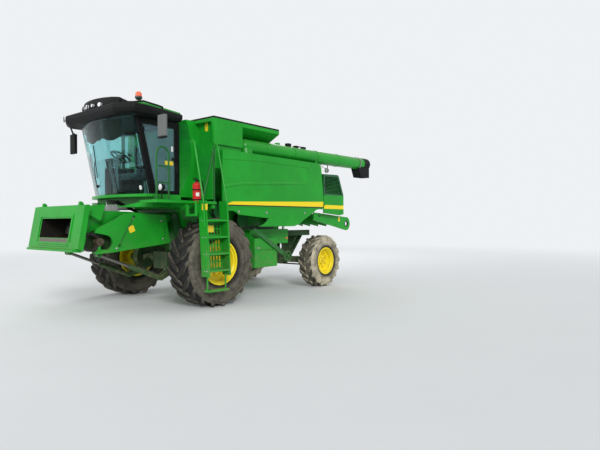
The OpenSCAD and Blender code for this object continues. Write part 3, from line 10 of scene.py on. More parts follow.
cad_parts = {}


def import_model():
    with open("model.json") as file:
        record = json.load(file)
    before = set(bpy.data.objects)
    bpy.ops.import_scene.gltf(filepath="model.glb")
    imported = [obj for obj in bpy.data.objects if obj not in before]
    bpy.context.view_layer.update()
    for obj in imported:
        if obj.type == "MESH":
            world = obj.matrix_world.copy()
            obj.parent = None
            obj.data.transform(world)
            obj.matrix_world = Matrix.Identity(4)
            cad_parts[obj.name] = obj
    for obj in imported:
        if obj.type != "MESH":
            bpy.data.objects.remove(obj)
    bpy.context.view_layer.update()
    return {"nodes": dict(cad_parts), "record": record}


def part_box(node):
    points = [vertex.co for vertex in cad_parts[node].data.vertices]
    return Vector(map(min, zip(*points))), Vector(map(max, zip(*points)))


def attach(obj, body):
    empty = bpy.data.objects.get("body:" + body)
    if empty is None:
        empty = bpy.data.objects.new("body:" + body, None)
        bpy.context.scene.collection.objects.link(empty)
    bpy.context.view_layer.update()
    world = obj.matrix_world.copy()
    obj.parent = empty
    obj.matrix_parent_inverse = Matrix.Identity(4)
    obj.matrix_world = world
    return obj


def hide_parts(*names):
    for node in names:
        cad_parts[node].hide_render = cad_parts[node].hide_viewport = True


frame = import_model()
nodes = frame["nodes"]

# Where the front axle and the machine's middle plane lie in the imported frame
AXLE_X = 1.692857
MID_Y = -0.14

FRONT, BACK = Vector((1, 0, 0)), Vector((-1, 0, 0))
LEFT, RIGHT = Vector((0, 1, 0)), Vector((0, -1, 0))
UP, DOWN = Vector((0, 0, 1)), Vector((0, 0, -1))
SIDES = ((1, "left"), (-1, "right"))


def at(x, y, z):
    """A point given from the front axle, the middle plane and the ground."""
    return Vector((x + AXLE_X, y + MID_Y, z))


def shade(colour, share):
    return tuple(c * share for c in colour)


# Node helpers

def by_node(operation):
    return lambda a, b=0.0: a.graph.math(operation, a, b)


class Value:
    """A node's output in sums, products and comparisons; | is the larger and & the smaller of two."""

    def __init__(self, graph, socket):
        self.graph = graph
        self.socket = socket

    def __rsub__(self, other):
        return self.graph.math("SUBTRACT", other, self)

    __add__, __sub__, __mul__ = by_node("ADD"), by_node("SUBTRACT"), by_node("MULTIPLY")
    __gt__, __lt__, __abs__ = by_node("GREATER_THAN"), by_node("LESS_THAN"), by_node("ABSOLUTE")
    __or__, __and__ = by_node("MAXIMUM"), by_node("MINIMUM")


class Graph:
    """The nodes of a material or of the world, with short ways to make what the finishes share."""

    def __init__(self, owner):
        """owner is the name of a new material, or a world."""
        self.owner = bpy.data.materials.new(owner) if isinstance(owner, str) else owner
        self.owner.use_nodes = True
        self.tree = self.owner.node_tree
        self.shader = self.tree.nodes.get("Principled BSDF") or self.tree.nodes["Background"]
        self.end = self.tree.nodes.get("Material Output") or self.tree.nodes["World Output"]
        self.sources = {}

    def node(self, kind, **values):
        made = self.tree.nodes.new("ShaderNode" + kind)
        for key, value in values.items():
            setattr(made, key, value)
        return made

    def feed(self, node, **values):
        """Values or links for a node's sockets, with _ for a space; key i2 is the third socket."""
        for key, value in values.items():
            name = key.replace("_", " ")
            socket = node.inputs[int(key[1:]) if key[1:].isdigit() else name]
            if isinstance(value, Value):
                self.tree.links.new(value.socket, socket)
            elif isinstance(value, bpy.types.NodeSocket):
                self.tree.links.new(value, socket)
            else:
                wide = isinstance(value, tuple) and len(value) == 3 and len(socket.default_value) == 4
                socket.default_value = (*value, 1.0) if wide else value

    def set(self, **values):
        """Values or links for the shader's sockets."""
        self.feed(self.shader, **values)

    def source(self, kind, output):
        """An output of a node that has no inputs; each kind is made once."""
        if kind not in self.sources:
            self.sources[kind] = self.node(kind)
        return Value(self, self.sources[kind].outputs[output])

    def part(self, vector, letter):
        split = self.node("SeparateXYZ")
        self.feed(split, Vector=vector)
        return Value(self, split.outputs[letter])

    def place(self):
        return self.source("TexCoord", "Object")

    def axis(self, letter):
        """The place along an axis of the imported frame."""
        return self.part(self.place(), letter)

    def local(self, letter):
        """The place along X from the front axle, or along Y from the middle plane."""
        return self.axis(letter) - {"X": AXLE_X, "Y": MID_Y}[letter]

    def facing(self, letter):
        """Size of the object's own normal along an axis."""
        return abs(self.part(self.source("TexCoord", "Normal"), letter))

    def upward(self):
        """1 where the surface looks up."""
        return self.part(self.source("NewGeometry", "Normal"), "Z") | 0.0

    def math(self, operation, a, b=0.0):
        made = self.node("Math", operation=operation)
        self.feed(made, i0=a, i1=b)
        return Value(self, made.outputs[0])

    def clamp(self, value):
        made = self.node("Clamp")
        self.feed(made, Value=value)
        return Value(self, made.outputs[0])

    def within(self, value, low, high):
        """1 between two values."""
        return (value > low) * (value < high)

    def steps(self, value, low, high):
        """0 below low, 1 above high."""
        made = self.node("MapRange", interpolation_type="SMOOTHSTEP")
        self.feed(made, Value=value, From_Min=low, From_Max=high)
        return Value(self, made.outputs["Result"])

    def slant(self, x, z, climb):
        """A height that is z at x from the front axle, and climbs for each metre forward."""
        return (self.local("X") - x) * climb + z

    def radius(self, centre, letters="XZ"):
        """Distance from an axis through centre, across the two letters."""
        flat = [self.axis(letter) - centre["XYZ".index(letter)] for letter in letters]
        return self.math("SQRT", flat[0] * flat[0] + flat[1] * flat[1])

    def disc(self, x, z, r):
        """1 nearer than r to the cross axis at x, z."""
        return self.radius(at(x, 0, z)) < r

    def noise(self, scale, detail=3.0, roughness=0.55, vector=None):
        made = self.node("TexNoise")
        self.feed(made, Vector=vector or self.place(), Scale=scale, Detail=detail, Roughness=roughness)
        return Value(self, made.outputs["Fac"])

    def bands(self, direction, scale):
        made = self.node("TexWave", wave_type="BANDS", bands_direction=direction)
        self.feed(made, Vector=self.place(), Scale=scale)
        return Value(self, made.outputs["Fac"])

    def mix(self, factor, a, b):
        made = self.node("Mix", data_type="RGBA")
        self.feed(made, i0=factor, i6=a, i7=b)
        return Value(self, made.outputs[2])

    def bump(self, height, strength, distance):
        made = self.node("Bump")
        self.feed(made, Height=height, Strength=strength, Distance=distance)
        self.set(Normal=made.outputs["Normal"])

    def show(self, kind, colour, where):
        """A plain shader of another kind, in place of the first where the mask is 1."""
        other, blend = self.node(kind), self.node("MixShader")
        self.feed(other, Color=colour)
        self.feed(blend, i0=where, i1=self.shader.outputs[0], i2=other.outputs[0])
        self.feed(self.end, Surface=blend.outputs[0])

    def seen(self):
        """1 for rays from the camera, and for those that mirrors and glass send on."""
        camera, glossy, through = [self.source("LightPath", f"Is {kind} Ray") for kind in
                                   ("Camera", "Glossy", "Transmission")]
        return camera | glossy | through


# Finishes

GREEN = (0.010, 0.325, 0.021)
SHADED_GREEN = (0.008, 0.040, 0.012)
ROD_GREEN = (0.010, 0.080, 0.018)
VENT_GREEN = (0.020, 0.095, 0.040)
YELLOW = (0.86, 0.65, 0.014)
BLACK = (0.006, 0.007, 0.007)
BELT_BLACK = (0.014, 0.014, 0.015)
# Black of the guard ring and knobs, also used as painted shade behind the drive shield
GUARD_BLACK_AND_SHADE = (0.008, 0.008, 0.008)
FOOT_BLACK = (0.012, 0.012, 0.013)
HOLE_BLACK = (0.004, 0.004, 0.004)
TYRE_DARK, TYRE_PALE = (0.008, 0.008, 0.009), (0.018, 0.018, 0.017)
# Painted shade inside the feeder's duct
DUCT_SHADE = (0.016, 0.014, 0.012)
WORN_STRIP = (0.11, 0.095, 0.08)
GREASE = (0.075, 0.060, 0.038)
# Painted sheen on the near mirror's black shell
SHEEN_GREY = (0.14, 0.15, 0.145)
LENS_PALE = (0.80, 0.82, 0.84)
BEACON_DEEP, BEACON_BRIGHT = (0.62, 0.055, 0.012), (0.95, 0.16, 0.02)
DUST = (0.23, 0.19, 0.12)
RUST = (0.12, 0.05, 0.022)
WINDOW_DUST, FILM = (0.45, 0.47, 0.42), 0.25
SILVER = (0.82, 0.85, 0.86)

# Heights between which the dust from the ground thins out
DUSTY_BELOW, CLEAN_ABOVE = 0.3, 1.7
SCRATCH_STRETCH = (3.0, 60.0, 60.0)
LENS_RIBS, BEACON_RIBS = 90.0, 60.0
THREADS, WIRES = 160.0, 24.0
# The beacon: where it stands, the radius that takes it in, and the height of its dome's foot
BEACON_X, BEACON_Y, BEACON_R, DOME_Z = 1.210, 0.820, 0.075, 3.853


def painted(name, colour, gloss=0.3, dust=0.3, coat=0.05, low_dust=0.4, shine=0.2, marks=None):
    """Sprayed paint: slow change of tone, fine orange peel, dust on top faces and near the ground."""
    g = Graph(name)
    base = g.mix(g.steps(g.noise(1.7, 4.0), 0.35, 0.7), shade(colour, 0.82), colour)
    if marks:
        base = marks(g, base)
    grime = g.steps(g.noise(9.0, 6.0, 0.65), 0.42, 0.72)
    near_ground = (1.0 - g.steps(g.axis("Z"), DUSTY_BELOW, CLEAN_ABOVE)) * low_dust
    amount = g.clamp(g.clamp(g.upward() * dust + near_ground) * (grime + 0.25))
    g.set(Base_Color=g.mix(amount, base, DUST), Roughness=g.clamp(amount * 0.45 + gloss))
    g.set(Coat_Weight=coat, Coat_Roughness=0.12, Specular_IOR_Level=shine)
    g.bump(g.noise(220.0, 2.0), 0.04, 0.002)
    return g.owner


def plastic(name, colour, rough=0.55, dust=0.3, marks=None):
    """Moulded plastic or rubber with a fine grain."""
    g = Graph(name)
    tone = g.noise(6.0, 4.0)
    base = g.mix(tone, shade(colour, 0.75), shade(colour, 1.25))
    if marks:
        base = marks(g, base)
    amount = g.upward() * g.steps(g.noise(14.0, 5.0), 0.4, 0.75) * dust
    g.set(Base_Color=g.mix(amount, base, DUST), Roughness=tone * 0.15 + (rough - 0.07))
    g.set(Specular_IOR_Level=0.12)
    g.bump(g.noise(420.0, 2.0), 0.05, 0.001)
    return g.owner


def tyre_rubber(name, x, reach, bead, mud, side_mud, tread_mud):
    """Tyre rubber with mud dried on its sidewalls and on the lugs' tops, painted shade in the grooves
    between the lugs, and darker beside the rim.
    """
    g = Graph(name)
    r = g.radius(at(x, 0, reach))
    blotches = g.steps(g.noise(4.5, 7.0, 0.7), 0.34, 0.60)
    clods = g.steps(g.noise(17.0, 6.0, 0.7), 0.56, 0.70)
    side = g.steps(g.facing("Y"), 0.25, 0.75) * g.steps(r, bead + 0.02, bead + 0.12) * side_mud
    # Mud on the lug tops; the grooves get a quarter of it, which paints shade between the lugs
    tops = (g.steps(r, reach - 0.055, reach - 0.03) | 0.25) * tread_mud
    amount = g.clamp((side | tops) * (blotches * 0.65 + 0.35)) | clods * tread_mud
    base = g.mix(g.noise(30.0, 4.0), TYRE_DARK, TYRE_PALE)
    soil = g.mix(g.noise(8.0, 5.0), shade(mud, 0.72), mud)
    g.set(Base_Color=g.mix(amount, base, soil), Roughness=amount * 0.25 + 0.62)
    g.set(Specular_IOR_Level=0.25)
    g.bump(g.noise(60.0, 6.0, 0.7) + amount * 1.5, 0.35, 0.004)
    return g.owner


def bare_steel(name, colour, rough, rust=0.25, metal=0.9):
    """Worn metal with scratches that run one way, and patches of rust."""
    g = Graph(name)
    stretched = g.node("Mapping")
    g.feed(stretched, Vector=g.place(), Scale=SCRATCH_STRETCH)
    grain = g.noise(6.0, 4.0, 0.6, stretched.outputs["Vector"])
    spots = g.steps(g.noise(11.0, 7.0, 0.7), 0.5, 0.72) * rust
    base = g.mix(grain, shade(colour, 0.7), colour)
    g.set(Base_Color=g.mix(spots, base, RUST), Roughness=grain * 0.2 + rough, Metallic=(1.0 - spots) * metal)
    g.bump(grain, 0.15, 0.001)
    return g.owner


def glazing(name, colour, alpha, clear=1.0):
    """Tinted pane with a thin film of dust; light still falls through it."""
    g = Graph(name)
    dust = g.steps(g.noise(3.0, 6.0, 0.6), 0.45, 0.9)
    g.set(Base_Color=g.mix(dust * FILM, colour, WINDOW_DUST))
    g.set(Roughness=0.0, IOR=1.2, Transmission_Weight=clear, Alpha=alpha)
    return g.owner


def lamp_lens(name, colour):
    """Ribbed lens over a bright reflector."""
    g = Graph(name)
    ribs = g.bands("Y", LENS_RIBS)
    g.set(Base_Color=g.mix(ribs, shade(colour, 0.7), colour))
    g.set(Roughness=0.12, Coat_Weight=0.9, Coat_Roughness=0.03, Metallic=0.35)
    g.bump(ribs, 0.4, 0.002)
    return g.owner


def roof_lamp_finish(name):
    """Lamp lenses, and the beacon: black foot, ribbed orange dome."""
    g = Graph(name)
    beacon = g.radius(at(BEACON_X, BEACON_Y, 0), "XY") < BEACON_R
    dome = beacon * (g.axis("Z") > DOME_Z)
    foot = beacon - dome
    ribs = g.bands("Z", BEACON_RIBS)
    orange = g.mix(ribs, BEACON_DEEP, BEACON_BRIGHT)
    g.set(Base_Color=g.mix(dome, g.mix(foot, LENS_PALE, FOOT_BLACK), orange))
    g.set(Roughness=foot * 0.4 + 0.12, Coat_Weight=0.7, Coat_Roughness=0.04)
    g.bump(ribs, 0.25, 0.002)
    return g.owner


def woven(name, colour):
    """Seat cloth: a fine two-way weave."""
    g = Graph(name)
    weave = g.bands("X", THREADS) | g.bands("Z", THREADS)
    g.set(Base_Color=g.mix(weave, shade(colour, 0.5), shade(colour, 1.4)))
    g.set(Roughness=0.9, Sheen_Weight=0.3)
    g.bump(weave, 0.5, 0.001)
    return g.owner


def mesh_screen(name, colour):
    """Round screen of wire cloth: a grid of dark holes over metal."""
    g = Graph(name)
    holes = g.steps(g.bands("X", WIRES) & g.bands("Z", WIRES), 0.35, 0.6)
    g.set(Base_Color=g.mix(holes, colour, HOLE_BLACK), Roughness=0.5, Metallic=0.4)
    g.bump(1.0 - holes, 0.6, 0.002)
    return g.owner


def vinyl(name, colour):
    """A blank decal: smooth film, a little faded and dusty."""
    g = Graph(name)
    worn = g.steps(g.noise(26.0, 6.0, 0.7), 0.52, 0.74)
    g.set(Base_Color=g.mix(worn * 0.3, colour, DUST), Roughness=worn * 0.25 + 0.30)
    g.bump(g.noise(180.0, 2.0), 0.05, 0.001)
    return g.owner


def silvered(name):
    """Mirror glass with a few dried drops."""
    g = Graph(name)
    drops = g.steps(g.noise(40.0, 4.0), 0.60, 0.68)
    g.set(Roughness=drops * 0.25 + 0.02, Base_Color=SILVER, Metallic=1.0)
    return g.owner


# Marks that are part of a finish; places are from the front axle, the middle plane and the ground

# The side panel's stripe: where its edges are given, their heights there and how much they climb
# for each metre forward, its slanted tip, the black line under it, and the hood's own piece of it
STRIPE_X = -0.18
STRIPE_LOW, LOW_CLIMB = 1.936, -0.0061
STRIPE_HIGH, HIGH_CLIMB = 1.992, -0.0277
TIP_X, TIP_SLANT = -0.25, 3.0
LINE_W, LINE_END = 0.024, -0.05
HOOD_STRIPE = (1.915, 2.010)
# The hood's dark vent: its lower edge, and how far off the middle its louvres reach
VENT_LOW = 2.262
LOUVRES = (1.474, 1.4935)


def panel_stripe(g, base):
    """Stripe that widens to the rear and starts in a slanted tip, with the black line under it."""
    z = g.axis("Z")
    low = g.slant(STRIPE_X, STRIPE_LOW, LOW_CLIMB)
    over_low = z - low
    tip = over_low * TIP_SLANT + g.local("X") < TIP_X
    stripe = g.within(z, low, g.slant(STRIPE_X, STRIPE_HIGH, HIGH_CLIMB)) * tip
    line = g.within(over_low, -LINE_W, 0.0) * (g.local("X") < LINE_END)
    return g.mix(line, g.mix(stripe, base, YELLOW), BLACK)


def hood_marks(g, base):
    """The hood's own piece of the stripe, and its dark ventilated cheeks."""
    cheek = g.facing("Y") > 0.7
    stripe = g.within(g.axis("Z"), *HOOD_STRIPE) * cheek
    vent = (g.axis("Z") > VENT_LOW) * (cheek | g.within(abs(g.local("Y")), *LOUVRES))
    return g.mix(vent, g.mix(stripe, base, YELLOW), VENT_GREEN)


# Middle and radius of each belt pulley; no belt runs below the height given
PULLEYS = ((-1.280, 1.640, 0.170), (-2.300, 1.700, 0.230), (-0.600, 1.820, 0.150))
LOWEST_BELT = 1.44


def belts_black(g, base):
    """Black belts between green pulleys."""
    belts = g.axis("Z") > LOWEST_BELT
    for x, z, r in PULLEYS:
        belts = belts * (1.0 - g.disc(x, z, r - 0.004))
    return g.mix(belts, base, BELT_BLACK)


# The feeder's duct: mouth, half width inside, and the lines of its roof and floor as x, z and climb
MOUTH_LOW, MOUTH_HIGH, DUCT_HALF_W = 1.333, 1.667, 0.527
ROOF_LINE, ROOF_CAP = (2.0, MOUTH_HIGH, -0.170), (1.3, 1.785, 0.062)
FLOOR_LINE, FLOOR_LOW = (2.0, MOUTH_LOW, 2.1), 1.130
# The worn strip under the mouth, and what lies behind the drive shield: ranges of x, y and z
STRIP_Z, STRIP_HALF_W = (1.265, 1.325), 0.50
SHADE_X, SHADE_Y, SHADE_LOW, SHADE_HIGH = (0.45, 2.20), (0.53, 0.60), 1.09, 1.70
SHADE_LINE = (1.46, 1.725, -0.53)


def feeder_marks(g, base):
    """Painted shade over the inside of the duct, worn strip under its mouth, shade behind the drive shield.
    """
    z = g.axis("Z")
    aside = abs(g.local("Y"))
    roof = (g.slant(*ROOF_LINE) | MOUTH_HIGH) & g.slant(*ROOF_CAP)
    ground = (g.slant(*FLOOR_LINE) & MOUTH_LOW) | FLOOR_LOW
    # The duct's inside is painted near-black as shade
    duct = g.within(z, ground, roof) * (aside < DUCT_HALF_W)
    strip = g.within(z, *STRIP_Z) * (aside < STRIP_HALF_W) * (g.facing("X") > 0.7)
    behind = g.within(z, SHADE_LOW, g.slant(*SHADE_LINE) & SHADE_HIGH)
    behind = behind * g.within(g.local("X"), *SHADE_X) * g.within(g.local("Y"), *SHADE_Y)
    outside = g.mix(strip, g.mix(behind, base, SHADED_GREEN), WORN_STRIP)
    return g.mix(duct, outside, DUCT_SHADE)


# The header drive: x, z and radius of its guard ring, shaft end and latch rod's knobs, how far
# forward the ring starts, the reach of the rod from the shaft, and the shield's back and face
GUARD_RING, RING_X = (2.080, 1.262, 0.163), 1.90
SHAFT_X, SHAFT_Z, SHAFT_R, ROD_REACH = 1.924, 1.262, 0.067, 0.9
KNOBS = ((1.296, 1.70, 0.026), (1.58, 1.19, 0.026))
SHIELD_BACK, SHIELD_FACE = 0.668, 0.7815


def drive_marks(g, base):
    """Black guard ring, greasy shaft end, black knobs of the latch rod, and black painted shade behind the
    shield's back.
    """
    ring = g.disc(*GUARD_RING) * (g.local("X") > RING_X)
    proud = g.local("Y") > SHIELD_FACE
    knobs = (g.disc(*KNOBS[0]) | g.disc(*KNOBS[1])) * proud
    # Ring and knobs are black; the drive behind the shield's back is painted black as shade
    black = ring | (g.local("Y") < SHIELD_BACK) | knobs
    base = g.mix(proud * g.disc(SHAFT_X, SHAFT_Z, ROD_REACH), base, ROD_GREEN)
    return g.mix(g.disc(SHAFT_X, SHAFT_Z, SHAFT_R), g.mix(black, base, GUARD_BLACK_AND_SHADE), GREASE)


# The near mirror's head: its inner edge, its top, and the heights between which its painted sheen sets in
HEAD_Y, HEAD_TOP = 1.41, 3.425
HEAD_FOOT = (3.05, 3.075)


def mirror_sheen_marks(g, base):
    """Painted sheen: the near mirror's black shell is painted grey; the far one stays black."""
    head = (g.local("Y") > HEAD_Y) * (g.axis("Z") < HEAD_TOP)
    return g.mix(head * g.steps(g.axis("Z"), *HEAD_FOOT), base, SHEEN_GREY)


green = painted("body_green", GREEN)
green_striped = painted("body_green_striped", GREEN, marks=panel_stripe)
green_feeder = painted("body_green_feeder", GREEN, marks=feeder_marks)
green_drive = painted("body_green_drive", GREEN, marks=drive_marks)
green_hood = painted("body_green_hood", GREEN, marks=hood_marks)
green_dark = painted("chassis_green", (0.012, 0.085, 0.02), gloss=0.45, dust=0.5, low_dust=0.6, coat=0.1)
green_belts = painted("belt_green", (0.014, 0.16, 0.028), gloss=0.4, dust=0.4, coat=0.2, marks=belts_black)
green_rail = painted("rail_green", (0.008, 0.120, 0.018), gloss=0.4, dust=0.1, low_dust=0.0)
yellow = painted("rim_yellow", (0.95, 0.76, 0.016), gloss=0.32, dust=0.15, low_dust=0.14)
yellow_worn = painted("rim_yellow_worn", (0.72, 0.54, 0.02), gloss=0.4, dust=0.3, low_dust=0.3)
red = painted("red_paint", (0.62, 0.022, 0.016), gloss=0.22, dust=0.1, low_dust=0.0)
black_paint = painted("cab_black", BLACK, gloss=0.34, dust=0.06, coat=0.0, low_dust=0.0, shine=0.08)
black_plastic = plastic("black_plastic", (0.008, 0.009, 0.009), dust=0.12)
# Black plastic, with a painted sheen on the near mirror's head
mirror_shell = plastic("mirror_shell", BLACK, marks=mirror_sheen_marks)
rubber = plastic("rubber", (0.014, 0.014, 0.015), 0.7, 0.3)
headliner = plastic("headliner", (0.010, 0.014, 0.007), 0.9, 0.0)
front_tyre = tyre_rubber("front_tyre", 0, 0.835, 0.432, (0.20, 0.18, 0.135), 0.72, 0.08)
rear_tyre = tyre_rubber("rear_tyre", -3.61, 0.63, 0.331, (0.60, 0.54, 0.40), 1.0, 0.34)
steel = bare_steel("steel", (0.45, 0.45, 0.45), 0.32)
dark_steel = bare_steel("dark_steel", (0.11, 0.11, 0.11), 0.5, 0.6, 0.6)
rod_steel = bare_steel("rod_steel", (0.26, 0.25, 0.23), 0.28, 0.35)
wire_cloth = mesh_screen("wire_cloth", (0.16, 0.16, 0.16))
glass = glazing("glass", (0.42, 0.78, 0.80), 0.80)
glass_smoked = glazing("glass_smoked", (0.30, 0.50, 0.56), 0.85, 0.80)
lamps = roof_lamp_finish("roof_lamps")
lens_clear = lamp_lens("lens_clear", (0.86, 0.87, 0.86))
lens_red = lamp_lens("lens_red", (0.60, 0.015, 0.012))
lens_orange = lamp_lens("lens_orange", (0.85, 0.20, 0.015))
cloth = woven("seat_cloth", (0.05, 0.055, 0.06))
label_yellow = vinyl("label_yellow", (0.82, 0.60, 0.02))
label_white = vinyl("label_white", (0.70, 0.71, 0.68))
mirror_glass = silvered("mirror_glass")

BY_SLOT = {
    "body_green": green, "chassis_green": green_dark, "rim_yellow": yellow, "tyre": rear_tyre,
    "rubber": rubber, "black_plastic": black_plastic, "cab_black": black_paint, "glass": glass,
    "steel": steel, "dark_steel": dark_steel, "lamp": lamps, "seat_cloth": cloth, "red_paint": red,
}
SPECIAL = {
    "left_side_panel": green_striped, "right_side_panel": green_striped, "rear_hood": green_hood,
    "front_left_tyre": front_tyre, "front_right_tyre": front_tyre, "belt_drive": green_belts,
    "rotary_screen": wire_cloth, "door_glass": glass_smoked, "feeder_house": green_feeder,
    "feeder_drive": green_drive, "mirrors": mirror_shell, "handrails": green_rail, "lift_rods": rod_steel,
    "feeder_chain": steel,
}
# The record's slot of each finish that only small pieces wear
SLOTS = {material: slot for slot, material in BY_SLOT.items()}
SLOTS.update({
    yellow_worn: "rim_yellow", label_yellow: "rim_yellow", label_white: "rim_yellow", front_tyre: "tyre",
    headliner: "black_plastic", mirror_glass: "glass", lens_clear: "lamp", lens_red: "lamp",
    lens_orange: "lamp",
})

for part in frame["record"]["subparts"]:
    mesh = nodes[part["node"]].data
    mesh.materials.clear()
    mesh.materials.append(SPECIAL.get(part["node"], BY_SLOT[part["material_slot"]]))


# Places on the nodes

CLEAR = 5.0
TREES = {}


def box(node):
    """A node's lowest and highest corners."""
    return [Vector(corner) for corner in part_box(node)]


def half_height(node):
    low, high = box(node)
    return (high.z - low.z) / 2


def onto(node, start, way):
    """Where a line from start along way first meets a node: the point and its outward normal."""
    if node not in TREES:
        mesh = nodes[node].data
        faces = [p.vertices for p in mesh.polygons]
        TREES[node] = BVHTree.FromPolygons([v.co for v in mesh.vertices], faces)
    point, normal, _, _ = TREES[node].ray_cast(start, way)
    if point is None:
        raise RuntimeError(f"no surface of {node} in front of {tuple(start)}")
    return point, (-normal if normal.dot(way) > 0 else normal)


def beside(node, x, z, side=1):
    """Where a node is met from the left, or from the right with side -1."""
    return onto(node, at(x, CLEAR * side, z), RIGHT * side)


def before(node, y, z):
    """Where a node is met from the front."""
    return onto(node, at(CLEAR, y, z), BACK)


def above(node, x, y):
    """Where a node is met from above."""
    return onto(node, at(x, y, CLEAR), DOWN)


# Forms of the small pieces

def circle_ways(count, u, v, first=0.0):
    """Directions of count points round a circle, from u towards v."""
    angles = [math.tau * (k + first) / count for k in range(count)]
    return [u * math.cos(a) + v * math.sin(a) for a in angles]


def smooth_path(points, cuts=8):
    """A soft curve through the points."""
    points = [Vector(p) for p in points]
    ends = [points[0] * 2 - points[1]] + points + [points[-1] * 2 - points[-2]]
    path = []
    for a, b, c, d in zip(ends, ends[1:], ends[2:], ends[3:]):
        for k in range(cuts):
            t = k / cuts
            bend = (2 * a - 5 * b + 4 * c - d) * t * t
            path.append(0.5 * (2 * b + (c - a) * t + bend + (3 * b - a - 3 * c + d) * t ** 3))
    return path + [points[-1]]


def rounded_outline(width, height, corner, steps=5):
    """A rectangle with round corners, as points round its middle."""
    points = []
    for sx, sy, turn in ((1, 1, 0), (-1, 1, 90), (-1, -1, 180), (1, -1, 270)):
        for k in range(steps + 1):
            a = math.radians(turn + 90 * k / steps)
            x = sx * (width / 2 - corner) + corner * math.cos(a)
            points.append((x, sy * (height / 2 - corner) + corner * math.sin(a)))
    return points


def put(name, data):
    obj = bpy.data.objects.new(name, data)
    bpy.context.scene.collection.objects.link(obj)
    return obj


class Shape:
    """A mesh in the making, from turned, swept and extruded forms."""

    def __init__(self):
        self.bm = bmesh.new()

    def skin(self, rings, closed=False, first_cap=True, last_cap=True):
        made = [[self.bm.verts.new(p) for p in ring] for ring in rings]
        count = len(made[0])
        pairs = list(zip(made, made[1:])) + ([(made[-1], made[0])] if closed else [])
        for a, b in pairs:
            for i in range(count):
                j = (i + 1) % count
                self.bm.faces.new((a[i], a[j], b[j], b[i]))
        if first_cap and not closed:
            self.bm.faces.new(made[0][::-1])
        if last_cap and not closed:
            self.bm.faces.new(made[-1])

    def turn(self, centre, axis, profile, sides=24, closed=False):
        """Revolve a row of (radius, distance along the axis)."""
        centre, axis = Vector(centre), Vector(axis).normalized()
        u = axis.orthogonal().normalized()
        ways = circle_ways(sides, u, axis.cross(u))
        rings = [[centre + axis * a + way * r for way in ways] for r, a in profile]
        self.skin(rings, closed, profile[0][0] > 0, profile[-1][0] > 0)

    def band(self, centre, axis, inner, outer, low, high, sides=48):
        """A flat ring between two radii and two distances along its axis."""
        self.turn(centre, axis, [(inner, low), (outer, low), (outer, high), (inner, high)], sides, True)

    def sweep(self, path, radius, sides=8):
        """A round bar along a path."""
        path = [Vector(p) for p in path]
        side = (path[1] - path[0]).normalized().orthogonal().normalized()
        rings = []
        for i, point in enumerate(path):
            near = (path[min(i + 1, len(path) - 1)] - path[max(i - 1, 0)]).normalized()
            side = (side - near * side.dot(near)).normalized()
            rings.append([point + way * radius for way in circle_ways(sides, side, near.cross(side))])
        self.skin(rings)

    def plate(self, point, normal, outline, thick, up=UP, edge=0.0):
        """A flat plate on a surface, its rim drawn in by edge; outline is in its own right and up."""
        u = Vector(up).cross(normal)
        u = (u if u.length > 0.01 else FRONT.cross(normal)).normalized()
        v = Vector(normal).cross(u)
        levels = [(1.0, 0.0002), (1.0, thick - edge)]
        if edge:
            levels.append((1.0 - edge / 0.05, thick))
        for_level = [[(u * x + v * y) * share + normal * h for x, y in outline] for share, h in levels]
        self.skin([[point + step for step in ring] for ring in for_level])

    def block(self, low, high, bevel=0.0, turn=None):
        """A box, with its edges rounded by bevel."""
        low, high = Vector(low), Vector(high)
        size = Matrix.Diagonal((*(high - low), 1.0))
        place = Matrix.Translation((low + high) / 2) @ (turn or Matrix.Identity(4)) @ size
        made = bmesh.ops.create_cube(self.bm, size=1.0, matrix=place)["verts"]
        if bevel:
            edges = list({e for v in made for e in v.link_edges})
            bmesh.ops.bevel(self.bm, geom=edges, offset=bevel, segments=2, affect="EDGES", profile=0.6)

    def button(self, point, normal, rows, sides=24):
        """A small turned head on a surface; its last row gives the height of its flat top."""
        self.turn(point, normal, [*rows, (0, rows[-1][1])], sides)

    def bolt(self, point, normal, size=0.018):
        """A hexagon head on its washer."""
        self.button(point, normal, [(size * 0.82, 0.0), (size * 0.82, size * 0.12)], 12)
        head = [(size * 0.56, size * 0.1), (size * 0.56, size * 0.52), (size * 0.46, size * 0.62)]
        self.button(point, normal, head, 6)

    def bolts(self, place, start, end, count, size=0.018):
        """A row of bolts; place gives a point and a normal for each pair between start and end."""
        for k in range(count):
            spot = Vector(start).lerp(Vector(end), k / (count - 1))
            self.bolt(*place(*spot), size)

    def pad(self, place, half, top, bottom, channels=(), steps=20):
        """A cushion: crowned on both faces, with sewn channels across its own x."""
        spread = [math.sin((i / steps - 0.5) * math.pi) for i in range(steps + 1)]
        for sign, thick in ((1, top), (-1, bottom)):
            grid = []
            for u in spread:
                row = []
                for v in spread:
                    rise = ((1 - abs(u) ** 5) * (1 - abs(v) ** 5)) ** 0.45
                    sewn = sum(math.exp(-((v - c) / 0.05) ** 2) for c in channels) if sign > 0 else 0.0
                    pull = 1 - 0.035 * (u * u) * (1 - v * v) - 0.02 * v * v
                    height = sign * thick * (rise - 0.16 * sewn * rise)
                    spot = place @ Vector((half[0] * u * pull, half[1] * v * pull, height))
                    row.append(self.bm.verts.new(spot))
                grid.append(row)
            for i in range(steps):
                for j in range(steps):
                    self.bm.faces.new((grid[i][j], grid[i + 1][j], grid[i + 1][j + 1], grid[i][j + 1]))

    def piece(self, name, material, body="root", angle=35.0):
        bmesh.ops.remove_doubles(self.bm, verts=self.bm.verts, dist=1e-5)
        bmesh.ops.recalc_face_normals(self.bm, faces=self.bm.faces)
        mesh = bpy.data.meshes.new(name)
        self.bm.to_mesh(mesh)
        self.bm.free()
        mesh.shade_smooth()
        mesh.set_sharp_from_angle(angle=math.radians(angle))
        mesh.materials.append(material)
        obj = put(name, mesh)
        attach(obj, body)
        return obj


# Sharp edges of forms that are round all over start at a wider angle
SOFT = 60.0

